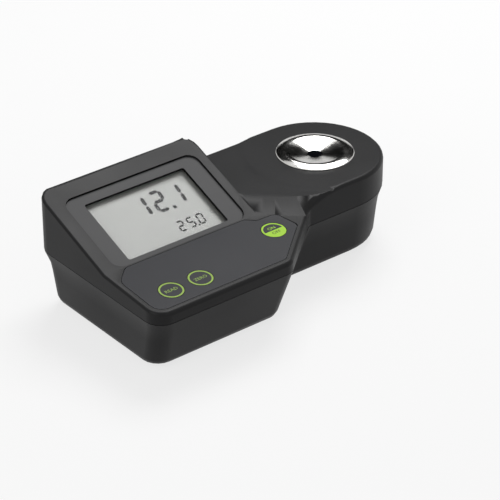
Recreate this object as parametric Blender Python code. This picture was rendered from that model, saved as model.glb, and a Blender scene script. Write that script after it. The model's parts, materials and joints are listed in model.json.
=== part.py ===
"""A digital bench refractometer: tilted display, flat key pad, and a steel sample well in a round head.

Metres, +Z up. X runs along the instrument from the display end to the head, Y to the rear.
Pieces are modelled in the case's own corner frame, which an empty puts over the origin.
"""

import math

import bmesh
import bpy
from mathutils import Matrix, Vector

# Driving dimensions of the case.
CASE_LENGTH = 0.192
CASE_WIDTH = 0.103
FOOT_DROP = 0.0015
WALL = 0.0025
GAP = 0.0003
OVERRUN = 0.004
PARTING_Z = 0.0314
BEND_Y = 0.044
BEND_Z = 0.0413
DISPLAY_TILT = math.radians(21.2)
KEYPAD_TILT = math.radians(4.0)
NECK_Z = 0.047
DISC_RISE = 0.001
TOP_CLEAR_Z = 0.08

# Plan outline of the case at the parting line.
HEAD_RADIUS = 0.0364
HEAD_X = CASE_LENGTH - HEAD_RADIUS
HEAD_Y = CASE_WIDTH - HEAD_RADIUS
SLANT_START_X = 0.0845
SLANT_ANGLE = math.radians(40.0)
REAR_CORNER_RADIUS = 0.0105
FRONT_CORNER_RADIUS = 0.0095
SLANT_CORNER_RADIUS = 0.009
NECK_CORNER_RADIUS = 0.006
MIN_CORNER_RADIUS = 0.003
CORNER_STEPS = 5
HEAD_STEPS = 22

# Upper case forms.
POD_RIGHT_X = 0.098
POD_SIDE_LEAN = math.radians(20.0)
POD_CORNER_RADIUS = 0.009
CREST_ROUND = 0.0014
CREASE_START_DROP = 0.0081
CREASE_END_BACK = 0.0306
CREASE_END_DROP = 0.0316
CREASE_START = (POD_RIGHT_X, HEAD_Y - CREASE_START_DROP)
CREASE_END = (HEAD_X - CREASE_END_BACK, HEAD_Y - CREASE_END_DROP)
CREASE_BULGE = 0.0035
CREASE_TAIL = 0.0200
CREASE_STEPS = 8
RAMP_ANGLE = math.radians(38.0)
DISC_OFFSET_X = 0.0024
DISC_X = HEAD_X + DISC_OFFSET_X
DISC_RADIUS = 0.0395
DISC_SLOPE_WIDTH = 0.0017
DISC_BLEND_WIDTH = 0.0050
TOP_EDGE_ROUND = 0.0022
REAR_EDGE_ROUND = 0.0042
LEFT_EDGE_ROUND = 0.0014
FINE_STEP = 0.0026
ROUND_STEPS = 3

# Lower case: how far each side draws in below the parting line.
SIDE_TUCK = 0.0016
TUCK_HEIGHT = 0.0085
SIDE_TAPER = 0.0029
FRONT_TAPER = 0.0100
BASE_ROUND = 0.005
BASE_CORNER_SHARE = 0.4
BASE_ROUND_STEPS = 3
WALL_LEVELS = 4
HOLLOW_LEVELS = 1

# Joint between the case halves.
LIP_INSET = 0.0016
LIP_WIDTH = 0.0009
LIP_RISE = 0.0018
SEAL_HEIGHT = 0.0010
LIP_CLEAR_INSET = 0.0035

# Display stack, as depths under the deck along its normal; v runs up the slope from the bend.
DECK_LENGTH = (CASE_WIDTH - BEND_Y) / math.cos(DISPLAY_TILT)
BEZEL_LEFT_X = 0.0086
BEZEL_RIGHT_MARGIN = 0.0062
BEZEL_RIGHT_X = POD_RIGHT_X - BEZEL_RIGHT_MARGIN
BEZEL_LOW_V = 0.0006
BEZEL_DECK_SHARE = 0.787
BEZEL_HIGH_V = DECK_LENGTH * BEZEL_DECK_SHARE
BEZEL_CORNER = 0.006
BEZEL_SINK = 0.0010
BEZEL_THICK = 0.0014
VIEW_LEFT_BORDER = 0.0099
VIEW_RIGHT_BORDER = 0.0103
VIEW_LOW_BORDER = 0.0028
VIEW_HIGH_BORDER = 0.0060
VIEW_LEFT_X = BEZEL_LEFT_X + VIEW_LEFT_BORDER
VIEW_RIGHT_X = BEZEL_RIGHT_X - VIEW_RIGHT_BORDER
VIEW_LOW_V = BEZEL_LOW_V + VIEW_LOW_BORDER
VIEW_HIGH_V = BEZEL_HIGH_V - VIEW_HIGH_BORDER
VIEW_CORNER = 0.0012
GLASS_MARGIN = 0.0010
PANE_MARGIN = 0.0022
PANE_THICK = 0.0010
LCD_THICK = 0.0018
PAD_MARGIN = 0.0020
HOLDER_THICK = 0.0020
HOLDER_BEZEL_SHARE = 0.8
HOLDER_HIGH_V = BEZEL_HIGH_V * HOLDER_BEZEL_SHARE
BOARD_THICK = 0.0016
DISPLAY_SCREW_INSET_X = 0.0040
DISPLAY_SCREW_INSET_V = 0.0046
STRIP_INSET = 0.0016
STRIP_WIDTH = 0.0020
CHIP_SIDE = 0.0100
CHIP_HEIGHT = 0.0016

# Key pad: printed sheet, keys, board and its screws.
KEY_RING_RADIUS = 0.00645
OVERLAY_THICK = 0.0005
OVERLAY_EDGE = 0.0036
OVERLAY_SLANT_DROP = 0.0198
OVERLAY_NOSE_OUT = 0.0072
OVERLAY_NOSE_DROP = 0.0056
OVERLAY_STEP_IN = 0.0050
OVERLAY_STEP_DROP = 0.0052
OVERLAY_REAR_IN = 0.0100
OVERLAY_REAR_DROP = 0.0008
OVERLAY_LEFT_X = 0.0130
OVERLAY_LEFT_DROP = 0.0095
OVERLAY_LARGE_CORNER = 0.0080
OVERLAY_CORNER = 0.0060
OVERLAY_SMALL_CORNER = 0.0040
OVERLAY_STEP_CORNER = 0.0030
KEY_TRAVEL = 0.0004
KEY_STEM_RADIUS = 0.0020
READ_KEY_X = 0.0198
ZERO_KEY_X = 0.0379
LOW_KEY_Y = 0.0149
POWER_KEY_OUT = 0.0102
POWER_KEY_DROP = 0.0168
KEY_PLACES = {
    "read": (READ_KEY_X, LOW_KEY_Y),
    "zero": (ZERO_KEY_X, LOW_KEY_Y),
    "power": (SLANT_START_X + POWER_KEY_OUT, BEND_Y - POWER_KEY_DROP),
}
SWITCH_SIDE = 0.0060
SWITCH_HEIGHT = 0.0025
SWITCH_DEPTH = 0.0044
PLUNGER_RADIUS = 0.0013
PLUNGER_RISE = 0.0007
KEY_BOARD_X = 0.0100
KEY_BOARD_Y = 0.0070
KEY_BOARD_CORNER = 0.0020
KEY_BOARD_SLANT_IN = 0.0045
KEY_BOARD_OUT = 0.0030
KEY_BOARD_NOSE_DROP = 0.0200
KEY_BOARD_REAR_DROP = 0.0080
KEYPAD_SCREW_LEFT = 0.0265
KEYPAD_SCREW_DROP = 0.0310
KEYPAD_SCREW_RIGHT = 0.0185
KEYPAD_SCREW_REAR_DROP = 0.0120
KEYPAD_SCREWS = (
    (SLANT_START_X - KEYPAD_SCREW_LEFT, BEND_Y - KEYPAD_SCREW_DROP),
    (SLANT_START_X - KEYPAD_SCREW_RIGHT, BEND_Y - KEYPAD_SCREW_REAR_DROP),
)

# Case screws: places of the six bosses, clear of the battery well and the feet.
SCREW_FRONT_X = 0.0300
SCREW_FRONT_Y = 0.0220
SCREW_SLANT_Y = 0.0280
SCREW_REAR_X = 0.0320
SCREW_REAR_INSET = 0.0140
SCREW_NECK_BACK = 0.0516
SCREW_NECK_INSET = 0.0170
SCREW_THROAT_BACK = 0.0276
SCREW_THROAT_DROP = 0.0206
SCREW_HEAD_OUT = 0.0235
SCREW_PLACES = (
    (SCREW_FRONT_X, SCREW_FRONT_Y),
    (SLANT_START_X, SCREW_SLANT_Y),
    (SCREW_REAR_X, CASE_WIDTH - SCREW_REAR_INSET),
    (HEAD_X - SCREW_NECK_BACK, CASE_WIDTH - SCREW_NECK_INSET),
    (HEAD_X - SCREW_THROAT_BACK, HEAD_Y - SCREW_THROAT_DROP),
    (HEAD_X + SCREW_HEAD_OUT, HEAD_Y),
)
BOSS_RADIUS = 0.0032
SCREW_RADIUS = 0.0014
SCREW_HEAD_RADIUS = 0.0025
SCREW_HEAD_HEIGHT = 0.0018
SCREW_SINK = 0.0050
SCREW_BITE = 0.0040
SMALL_SCREW_RADIUS = 0.0009
SMALL_HEAD_RADIUS = 0.0018
SMALL_HEAD_HEIGHT = 0.0012
SMALL_BITE = 0.0018

# Battery, its well and the bayonet cover, which is wide enough for the battery to pass.
BATTERY_LENGTH = 0.0464
BATTERY_WIDTH = 0.0262
BATTERY_HEIGHT = 0.0172
BATTERY_CORNER = 0.0020
BATTERY_ROOM = 0.0003
STUD_RADIUS = 0.0028
STUD_RISE = 0.0021
STUD_SPACING = 0.0127
WELL_X = 0.0520
WELL_OFF_MIDDLE = 0.0025
WELL_Y = CASE_WIDTH / 2 + WELL_OFF_MIDDLE
COVER_THICK = 0.0022
COVER_SINK = 0.0003
COVER_STEP = 0.0020
COVER_CLEARANCE = 0.0014
BATTERY_REACH = math.hypot(BATTERY_LENGTH + STUD_RISE, BATTERY_WIDTH) / 2
COVER_RADIUS = BATTERY_REACH + COVER_CLEARANCE + COVER_STEP
NECK_RADIUS = COVER_RADIUS - COVER_STEP
NECK_WALL = 0.0015
COVER_SEAL_HEIGHT = 0.0011
LEDGE_HEIGHT = 0.0020
LUG_HEIGHT = 0.0015
LUG_ANGLE = math.radians(22.0)
LUG_CLEAR_ANGLE = math.radians(2.0)
LUG_COUNT = 3
WELL_WALL = 0.0020
COIN_SLOT_LENGTH = 0.0200
COIN_SLOT_WIDTH = 0.0024
COIN_SLOT_DEPTH = 0.0012
CONTACT_THICK = 0.0012

# Feet.
FOOT_RADIUS = 0.0060
FOOT_SEAT = 0.0010
FOOT_EDGE = 0.0005
FOOT_INSET = 0.0165
FOOT_FRONT_INSET = 0.0220
FOOT_HEAD_BACK = 0.0076
FOOT_HEAD_SPREAD = 0.0200
FOOT_PLACES = {
    "foot_front_left": (FOOT_INSET, FOOT_FRONT_INSET),
    "foot_rear_left": (FOOT_INSET, CASE_WIDTH - FOOT_INSET),
    "foot_head_front": (HEAD_X - FOOT_HEAD_BACK, HEAD_Y - FOOT_HEAD_SPREAD),
    "foot_head_rear": (HEAD_X - FOOT_HEAD_BACK, HEAD_Y + FOOT_HEAD_SPREAD),
}

# Sample dish: radii and heights over the head's top, from its edge to its crest and down the cone.
RING_RADIUS = 0.0210
RING_EDGE_RISE = 0.0004
RING_SHOULDER_RADIUS = 0.0206
RING_SHOULDER_RISE = 0.0008
RING_SLOPE_RADIUS = 0.0183
RING_SLOPE_RISE = 0.0015
RING_CREST_RADIUS = 0.0164
RING_CREST_RISE = 0.0018
CONE_TOP_RADIUS = 0.0150
CONE_TOP_RISE = 0.0016
CONE_DROP = 0.0009
DISH_SHEET = 0.0008
DISH_CUP_RADIUS = 0.0186
DISH_SKIRT = 0.0025
DISH_SIDES = 42

# Prism and optics in the head.
PRISM_FACE_RADIUS = 0.0037
PRISM_FACE_DROP = 0.0001
PRISM_COLLAR = 0.0010
PRISM_DEPTH = 0.0080
PRISM_LENGTH = 0.0150
PRISM_WIDTH = 0.0080
BLOCK_WIDTH = 0.0200
BLOCK_HEIGHT = 0.0150
EAR_REACH = 0.0250
EAR_WIDTH = 0.0100
EAR_THICK = 0.0030
EAR_SCREW_SPREAD = 0.0215
EAR_BOSS_RADIUS = 0.0024
LED_RADIUS = 0.0025
LED_LENGTH = 0.0060
LENS_RADIUS = 0.0032
LENS_THICK = 0.0022
LENS_SEAT = 0.0043
BLOCK_LENGTH = PRISM_LENGTH + 2 * (LENS_THICK + LENS_SEAT)
SENSOR_LENGTH = 0.0120
SENSOR_WIDTH = 0.0060
SENSOR_THICK = 0.0018
SENSOR_BOARD_LENGTH = 0.0240
SENSOR_BOARD_HEIGHT = 0.0140
PROBE_RADIUS = 0.0012
PROBE_LENGTH = 0.0040

# Cables inside the case.
RIBBON_WIDTH = 0.0120
RIBBON_THICK = 0.0004
RIBBON_SIDE = 0.0070
RIBBON_LAP = 0.0060
RIBBON_SAG = 0.0012
WIRE_RADIUS = 0.0008
WIRE_SIDES = 8
WIRE_BEND = 0.0030
WIRE_LOW_Z = 0.0330
WIRE_REAR_INSET = 0.0105
WIRE_BEND_STEPS = 3
WIRE_END_SIDE = 0.0200
WIRE_END_BACK = 0.0330
LEAD_RADIUS = 0.0010

# Facets of turned pieces.
ROUND_SIDES = 22
SMALL_SIDES = 12
WELL_SIDES = 36
SMOOTH_ANGLE = math.radians(35.0)


def rounded_outline(corners, steps=CORNER_STEPS):
    """Plan points of a closed outline from (x, y, radius) corners, anticlockwise, each rounded."""
    points = []
    count = len(corners)
    for index, (x, y, radius) in enumerate(corners):
        before = Vector(corners[index - 1][:2])
        after = Vector(corners[(index + 1) % count][:2])
        corner = Vector((x, y))
        back = (before - corner).normalized()
        ahead = (after - corner).normalized()
        half = back.angle(ahead) / 2
        reach = radius / math.tan(half)
        bisector = (back + ahead).normalized()
        centre = corner + bisector * (radius / math.sin(half))
        first = corner + back * reach - centre
        last = corner + ahead * reach - centre
        turn = math.atan2(first.x * last.y - first.y * last.x, first.dot(last))
        start = math.atan2(first.y, first.x)
        for step in range(steps + 1):
            angle = start + turn * step / steps
            points.append((centre.x + radius * math.cos(angle), centre.y + radius * math.sin(angle)))
    return points


def circle_points(x, y, radius, sides, start=0.0):
    points = []
    for step in range(sides):
        angle = start + math.tau * step / sides
        points.append((x + radius * math.cos(angle), y + radius * math.sin(angle)))
    return points


def case_outline(side, front, shrink=None):
    """Plan outline of the case: left, rear and head walls drawn in by side, front and slant walls by front.

    The corner radii lose shrink, which is side unless it is given.
    """
    if shrink is None:
        shrink = side
    normal = Vector((-math.sin(SLANT_ANGLE), math.cos(SLANT_ANGLE)))
    slant = Vector((SLANT_START_X, 0.0)) + normal * front
    neck_y = HEAD_Y - HEAD_RADIUS + side
    rise = math.tan(SLANT_ANGLE)
    corners = [
        (side, front, max(FRONT_CORNER_RADIUS - shrink, MIN_CORNER_RADIUS)),
        (slant.x + (front - slant.y) / rise, front, max(SLANT_CORNER_RADIUS - shrink, MIN_CORNER_RADIUS)),
        (slant.x + (neck_y - slant.y) / rise, neck_y, NECK_CORNER_RADIUS + shrink),
    ]
    head = []
    radius = HEAD_RADIUS - side
    for step in range(HEAD_STEPS + 1):
        angle = -math.pi / 2 + math.pi * step / HEAD_STEPS
        head.append((HEAD_X + radius * math.cos(angle), HEAD_Y + radius * math.sin(angle)))
    rear = [(side, CASE_WIDTH - side, max(REAR_CORNER_RADIUS - shrink, MIN_CORNER_RADIUS))]
    walls = rounded_outline(corners + [(HEAD_X, neck_y, GAP)] + [(HEAD_X, CASE_WIDTH - side, GAP)] + rear)
    span = CORNER_STEPS + 1
    kept = len(corners) * span
    return walls[:kept] + head + walls[-span:]


def loft(rings):
    """A closed mesh through rings of points of the same count, with its first and last ring filled."""
    mesh = bmesh.new()
    layers = [[mesh.verts.new(point) for point in ring] for ring in rings]
    count = len(layers[0])
    for lower, upper in zip(layers, layers[1:]):
        for index in range(count):
            following = (index + 1) % count
            mesh.faces.new((lower[index], lower[following], upper[following], upper[index]))
    mesh.faces.new(list(reversed(layers[0])))
    mesh.faces.new(layers[-1])
    bmesh.ops.recalc_face_normals(mesh, faces=mesh.faces)
    return mesh


def ring_at(points, z):
    return [(x, y, z) for x, y in points]


def prism(points, low, high):
    return loft([ring_at(points, low), ring_at(points, high)])


def cylinder(x, y, radius, low, high, sides=SMALL_SIDES):
    return prism(circle_points(x, y, radius, sides), low, high)


def block(low, high):
    points = [(low[0], low[1]), (high[0], low[1]), (high[0], high[1]), (low[0], high[1])]
    return prism(points, low[2], high[2])


def revolve(profile, sides=ROUND_SIDES, x=0.0, y=0.0):
    """A ring-shaped solid: the closed (radius, z) profile turned about the vertical through x, y."""
    mesh = bmesh.new()
    rings = []
    for step in range(sides):
        angle = math.tau * step / sides
        ring = []
        for radius, z in profile:
            ring.append(mesh.verts.new((x + radius * math.cos(angle), y + radius * math.sin(angle), z)))
        rings.append(ring)
    count = len(profile)
    for index, ring in enumerate(rings):
        following = rings[(index + 1) % sides]
        for step in range(count):
            other = (step + 1) % count
            mesh.faces.new((ring[step], following[step], following[other], ring[other]))
    bmesh.ops.recalc_face_normals(mesh, faces=mesh.faces)
    return mesh


def material(name, colour, roughness, metallic=0.0, transmission=0.0):
    made = bpy.data.materials.new(name)
    made.use_nodes = True
    shader = made.node_tree.nodes["Principled BSDF"]
    shader.inputs["Base Color"].default_value = (*colour, 1.0)
    shader.inputs["Roughness"].default_value = roughness
    shader.inputs["Metallic"].default_value = metallic
    shader.inputs["Transmission Weight"].default_value = transmission
    made.diffuse_color = (*colour, 1.0)
    return made


def piece(name, mesh, finish, parent, location=(0.0, 0.0, 0.0)):
    """Puts a finished bmesh in the scene as one named object."""
    data = bpy.data.meshes.new(name)
    mesh.to_mesh(data)
    mesh.free()
    made = bpy.data.objects.new(name, data)
    bpy.context.scene.collection.objects.link(made)
    made.parent = parent
    made.location = location
    if finish is not None:
        data.materials.append(finish)
    return made


def bake(target):
    """Turns an object's modifiers into its plain mesh."""
    bpy.context.view_layer.update()
    graph = bpy.context.evaluated_depsgraph_get()
    result = bpy.data.meshes.new_from_object(target.evaluated_get(graph))
    target.modifiers.clear()
    old = target.data
    result.name = target.name
    target.data = result
    bpy.data.meshes.remove(old)


def combine(target, tool, operation):
    """Applies one exact Boolean to target with a bmesh or an object, which is used up."""
    if isinstance(tool, bmesh.types.BMesh):
        tool = piece("tool", tool, None, target.parent, target.location)
    step = target.modifiers.new(operation.lower(), "BOOLEAN")
    step.operation = operation
    step.object = tool
    step.solver = "EXACT"
    bake(target)
    bpy.data.objects.remove(tool)


def cut(target, *tools):
    for tool in tools:
        combine(target, tool, "DIFFERENCE")


def join(target, *tools):
    for tool in tools:
        combine(target, tool, "UNION")


def tilted(mesh, tilt, depth=0.0):
    """Moves a mesh from a deck's own axes (x, distance up the slope, height off it) to the case's."""
    place = Matrix.Translation((0.0, BEND_Y, BEND_Z)) @ Matrix.Rotation(tilt, 4, "X")
    bmesh.ops.transform(mesh, matrix=place @ Matrix.Translation((0.0, 0.0, -depth)), verts=mesh.verts)
    return mesh


def smooth(target):
    target.data.shade_smooth()
    target.data.set_sharp_from_angle(angle=SMOOTH_ANGLE)


def slope_of_keypad(y):
    """Distance along the key pad's slope, from the bend, of a point at plan distance y."""
    return (y - BEND_Y) / math.cos(KEYPAD_TILT)


def pod_plan(offset):
    """Points and outward directions along the crest of the pod's right side and its rounded rear corner."""
    side = POD_RIGHT_X - offset / math.cos(POD_SIDE_LEAN)
    radius = POD_CORNER_RADIUS - offset
    rear = CASE_WIDTH - offset
    plan = [(Vector((side, BEND_Y - OVERRUN)), Vector((1.0, 0.0)))]
    for step in range(CORNER_STEPS + 1):
        angle = math.pi / 2 * step / CORNER_STEPS
        out = Vector((math.cos(angle), math.sin(angle)))
        plan.append((Vector((side - radius, rear - radius)) + out * radius, out))
    chord = (plan[-1][0] - plan[-2][0]).normalized()
    plan[-1] = (plan[-1][0] + chord * radius, plan[-1][1])
    return plan


def pod_block(offset):
    """The wedge under the tilted display deck, with a rounded crest, moved in by offset."""
    rise = math.tan(DISPLAY_TILT)
    lean = math.tan(POD_SIDE_LEAN)
    top = BEND_Z - offset / math.cos(DISPLAY_TILT)
    low = PARTING_Z - OVERRUN
    rings = ([], [], [], [])
    for point, out in pod_plan(offset):
        z = top + (point.y - BEND_Y) * rise
        inner = point - out * CREST_ROUND
        crest = Vector((point.x, point.y, z))
        side = crest + Vector((CREST_ROUND * lean, 0.0, -CREST_ROUND))
        deck = Vector((inner.x, inner.y, top + (inner.y - BEND_Y) * rise))
        rings[0].append((point.x + (z - low) * lean, point.y, low))
        rings[1].append(side)
        rings[2].append((side + crest + crest + deck) / 4)
        rings[3].append(deck)
    far = CASE_WIDTH + OVERRUN
    near = BEND_Y - OVERRUN
    for x, y in ((rings[3][-1].x, far), (-OVERRUN, far), (-OVERRUN, near)):
        z = top + (y - BEND_Y) * rise
        for ring, height in zip(rings, (low, z - CREST_ROUND, z - CREST_ROUND / 2, z)):
            ring.append((x, y, height))
    return loft(rings)


def keypad_block(offset):
    """The wedge under the key pad's plane, over the whole plan of the case."""
    rise = math.tan(KEYPAD_TILT)
    top = BEND_Z - offset / math.cos(KEYPAD_TILT)
    low = PARTING_Z - OVERRUN
    near = -OVERRUN
    far = CASE_WIDTH + OVERRUN
    near_top = top + (near - BEND_Y) * rise
    far_top = top + (far - BEND_Y) * rise
    profile = [(near, low), (near, near_top), (far, far_top), (far, low)]
    left = [(-OVERRUN, y, z) for y, z in profile]
    right = [(CASE_LENGTH + OVERRUN, y, z) for y, z in profile]
    return loft([left, right])


def crease_frame():
    """Start, direction and downhill direction of the crease's chord, which runs past both of its ends."""
    start = Vector(CREASE_START)
    along = (Vector(CREASE_END) - start).normalized()
    return start - along * OVERRUN, along, Vector((along.y, -along.x))


def crease_line():
    """The crease as (distance along its chord, bulge downhill), carried on until it leaves the case."""
    reach = (Vector(CREASE_END) - Vector(CREASE_START)).length + 2 * OVERRUN
    line = []
    for step in range(CREASE_STEPS + 1):
        share = step / CREASE_STEPS
        line.append(Vector((reach * share, CREASE_BULGE * 4 * share * (1 - share))))
    line.append(line[-1] + (line[-1] - line[-2]).normalized() * CREASE_TAIL)
    return line


def neck_block(offset):
    """The raised neck: a flat top that ends in a curved crease, and a ramp down to the key pad."""
    origin, along, down = crease_frame()
    top = NECK_Z - offset
    low = PARTING_Z - OVERRUN
    run = (top - low) / math.tan(RAMP_ANGLE)
    shift = offset * (1 / math.sin(RAMP_ANGLE) - 1 / math.tan(RAMP_ANGLE))
    crease = []
    foot = []
    for place in crease_line():
        point = origin + along * place.x + down * (place.y - shift)
        crease.append((point.x, point.y))
        point = point + down * run
        foot.append((point.x, point.y))
    right = CASE_LENGTH + OVERRUN
    rear = CASE_WIDTH + OVERRUN
    left = POD_RIGHT_X - 2 * POD_CORNER_RADIUS
    far = [(right, crease[-1][1]), (right, rear), (left, rear)]
    far_low = [(right, foot[-1][1]), (right, rear), (min(foot[0][0], left), rear)]
    return loft([ring_at(foot + far_low, low), ring_at(crease + far, top)])


def disc_block(offset):
    """The slightly raised round top of the head, with a sloped rim."""
    top = NECK_Z + DISC_RISE - offset
    low = NECK_Z - offset - OVERRUN
    slope = DISC_SLOPE_WIDTH / DISC_RISE
    inner = circle_points(DISC_X, HEAD_Y, DISC_RADIUS - offset, 2 * ROUND_SIDES)
    wide = DISC_RADIUS - offset + slope * (DISC_RISE + OVERRUN)
    outer = circle_points(DISC_X, HEAD_Y, wide, 2 * ROUND_SIDES)
    return loft([ring_at(outer, low), ring_at(inner, top)])


def top_height(point):
    """Height of the case's top surface over a plan point, before its outer edge is rounded."""
    plane = BEND_Z + (point.y - BEND_Y) * math.tan(DISPLAY_TILT)
    over = Vector((point.x - POD_RIGHT_X + POD_CORNER_RADIUS, point.y - CASE_WIDTH + POD_CORNER_RADIUS))
    beyond = over.x if over.y < 0.0 else over.length
    past = max(beyond - POD_CORNER_RADIUS, 0.0) if over.x > 0.0 else 0.0
    pod = plane - past / math.tan(POD_SIDE_LEAN)
    keypad = BEND_Z + (point.y - BEND_Y) * math.tan(KEYPAD_TILT)
    origin, along, down = crease_frame()
    reach = (point - origin).dot(along)
    line = crease_line()
    bulge = line[0].y if reach < 0.0 else line[-1].y
    for low, high in zip(line, line[1:]):
        if low.x <= reach < high.x:
            bulge = low.y + (high.y - low.y) * (reach - low.x) / (high.x - low.x)
    neck = NECK_Z - max((point - origin).dot(down) - bulge, 0.0) * math.tan(RAMP_ANGLE)
    away = max((point - Vector((DISC_X, HEAD_Y))).length - DISC_RADIUS, 0.0)
    share = min(away / DISC_BLEND_WIDTH, 1.0)
    if share < 1.0:
        neck = max(neck, NECK_Z + DISC_RISE * (1 - share * share * (3 - 2 * share)))
    return max(pod, keypad, neck)


def top_edge_round(point):
    """How far the top edge is rounded at a point of the outline: most behind the pod, least at its left."""
    if point.y < CASE_WIDTH / 2:
        share = min(point.x / FRONT_CORNER_RADIUS, 1.0)
        return LEFT_EDGE_ROUND + (TOP_EDGE_ROUND - LEFT_EDGE_ROUND) * share
    share = min(point.x / REAR_CORNER_RADIUS, 1.0)
    full = LEFT_EDGE_ROUND + (REAR_EDGE_ROUND - LEFT_EDGE_ROUND) * share
    fade = (point.x - POD_RIGHT_X + POD_CORNER_RADIUS) / POD_CORNER_RADIUS
    fade = min(max(fade, 0.0), 1.0)
    return full + (TOP_EDGE_ROUND - full) * fade


def fine_outline():
    """Points of the outline with their inward directions, closer together where the top changes height."""
    outer = [Vector(point) for point in case_outline(0.0, 0.0)]
    inner = [Vector(point) for point in case_outline(GAP, GAP)]
    places = []
    for index, point in enumerate(outer):
        following = (index + 1) % len(outer)
        inward = (inner[index] - point) / GAP
        places.append((point, inward))
        run = outer[following] - point
        parts = 1
        if max(point.x, outer[following].x) > POD_RIGHT_X and point.x < HEAD_X:
            parts = math.ceil(run.length / FINE_STEP)
        for part in range(1, parts):
            if (point + run * part / parts).x > POD_RIGHT_X - 2 * POD_CORNER_RADIUS:
                places.append((point + run * part / parts, inward))
        if (point.y - BEND_Y) * (outer[following].y - BEND_Y) < 0.0 and point.x < BEND_Y:
            places.append((Vector((point.x, BEND_Y)), inward))
    return places


def rounded_walls(low):
    """A block inside the case's walls whose top edge follows the top surface and is rounded inwards."""
    places = fine_outline()
    rings = [[(point.x, point.y, low) for point, inward in places]]
    for step in range(ROUND_STEPS + 1):
        angle = math.pi / 2 * step / ROUND_STEPS
        ring = []
        for point, inward in places:
            radius = top_edge_round(point)
            inset = radius * (1 - math.cos(angle))
            drop = radius * (1 - math.sin(angle))
            if step == ROUND_STEPS:
                before = math.pi / 2 * (step - 1) / ROUND_STEPS
                inset += inset - radius * (1 - math.cos(before))
                drop = radius * (math.sin(before) - 1)
            place = point + inward * inset
            ring.append((place.x, place.y, top_height(place) - drop))
        rings.append(ring)
    rings.append([(place[0], place[1], TOP_CLEAR_Z) for place in rings[-1]])
    return loft(rings)


def case_top_form(name, offset, low, parent):
    """The outside of the upper case, or with an offset the hollow inside it."""
    tool = piece("top_planes", pod_block(offset), None, parent)
    join(tool, keypad_block(offset), neck_block(offset), disc_block(offset))
    walls = prism(case_outline(offset, offset), low, TOP_CLEAR_Z) if offset else rounded_walls(low)
    form = piece(name, walls, None, parent)
    combine(form, tool, "INTERSECT")
    return form


def view_outline(margin, corner):
    """The display's view opening in deck axes, grown by margin."""
    return rounded_outline(
        [
            (VIEW_LEFT_X - margin, VIEW_LOW_V - margin, corner),
            (VIEW_RIGHT_X + margin, VIEW_LOW_V - margin, corner),
            (VIEW_RIGHT_X + margin, VIEW_HIGH_V + margin, corner),
            (VIEW_LEFT_X - margin, VIEW_HIGH_V + margin, corner),
        ],
        ROUND_STEPS,
    )


def bezel_outline(margin):
    return rounded_outline(
        [
            (BEZEL_LEFT_X - margin, BEZEL_LOW_V - margin, BEZEL_CORNER + margin),
            (BEZEL_RIGHT_X + margin, BEZEL_LOW_V - margin, BEZEL_CORNER + margin),
            (BEZEL_RIGHT_X + margin, BEZEL_HIGH_V + margin, BEZEL_CORNER + margin),
            (BEZEL_LEFT_X - margin, BEZEL_HIGH_V + margin, BEZEL_CORNER + margin),
        ],
        CORNER_STEPS,
    )


def display_depths():
    """Depths of the faces in the display stack, from the bezel's face down to the main board's back."""
    depths = {"bezel_top": BEZEL_SINK}
    depths["bezel_bottom"] = depths["bezel_top"] + BEZEL_THICK
    depths["pane_top"] = depths["bezel_bottom"] + GAP
    depths["pane_bottom"] = depths["pane_top"] + PANE_THICK
    depths["lcd_top"] = depths["pane_bottom"] + GAP
    depths["lcd_bottom"] = depths["lcd_top"] + LCD_THICK
    depths["holder_top"] = depths["lcd_bottom"] + GAP
    depths["holder_bottom"] = depths["holder_top"] + HOLDER_THICK
    depths["board_top"] = depths["holder_bottom"] + GAP
    depths["board_bottom"] = depths["board_top"] + BOARD_THICK
    return depths


def overlay_outline(margin):
    """The key pad sheet's outline in key pad axes; margin grows it."""
    edge = OVERLAY_EDGE - margin
    slant = math.tan(SLANT_ANGLE)
    start = SLANT_START_X + OVERLAY_EDGE * (1 / slant - 1 / math.sin(SLANT_ANGLE))
    start += margin * math.tan(SLANT_ANGLE / 2)
    nose_y = BEND_Y - OVERLAY_SLANT_DROP
    rear_y = BEND_Y - OVERLAY_REAR_DROP + margin
    large = OVERLAY_CORNER + margin
    small = OVERLAY_SMALL_CORNER + margin
    step = OVERLAY_STEP_CORNER + margin
    corners = [
        (edge, edge, large),
        (start, edge, small),
        (start + (nose_y - edge) / slant + margin, nose_y, step),
        (POD_RIGHT_X + OVERLAY_NOSE_OUT + margin, BEND_Y - OVERLAY_NOSE_DROP + margin, small),
        (POD_RIGHT_X - OVERLAY_STEP_IN + margin, BEND_Y - OVERLAY_STEP_DROP + margin, OVERLAY_STEP_CORNER),
        (POD_RIGHT_X - OVERLAY_REAR_IN + margin, rear_y, step),
        (OVERLAY_LEFT_X - margin, rear_y, large),
        (edge, BEND_Y - OVERLAY_LEFT_DROP, OVERLAY_LARGE_CORNER + margin),
    ]
    return rounded_outline([(x, slope_of_keypad(y), radius) for x, y, radius in corners], ROUND_STEPS + 1)


def display_screws():
    """Places on the display deck of the four screws that hold the stack."""
    places = []
    for x in (BEZEL_LEFT_X + DISPLAY_SCREW_INSET_X, BEZEL_RIGHT_X - DISPLAY_SCREW_INSET_X):
        for v in (BEZEL_LOW_V + DISPLAY_SCREW_INSET_V, HOLDER_HIGH_V - DISPLAY_SCREW_INSET_V):
            places.append((x, v))
    return places


def optics_heights():
    """Heights of the cone's inner edge, the prism's seal and shoulder, and the block's top."""
    heights = {"floor": NECK_Z + DISC_RISE - CONE_DROP}
    heights["under"] = heights["floor"] - DISH_SHEET
    heights["seal_high"] = heights["under"] - GAP
    heights["seal_low"] = heights["seal_high"] - PRISM_COLLAR
    heights["shoulder"] = heights["seal_low"] - GAP
    heights["block_top"] = heights["shoulder"] - GAP
    return heights


def board_depth():
    """Depth of the key pad board's top face under the key pad's plane."""
    return SWITCH_DEPTH + SWITCH_HEIGHT + GAP


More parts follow.
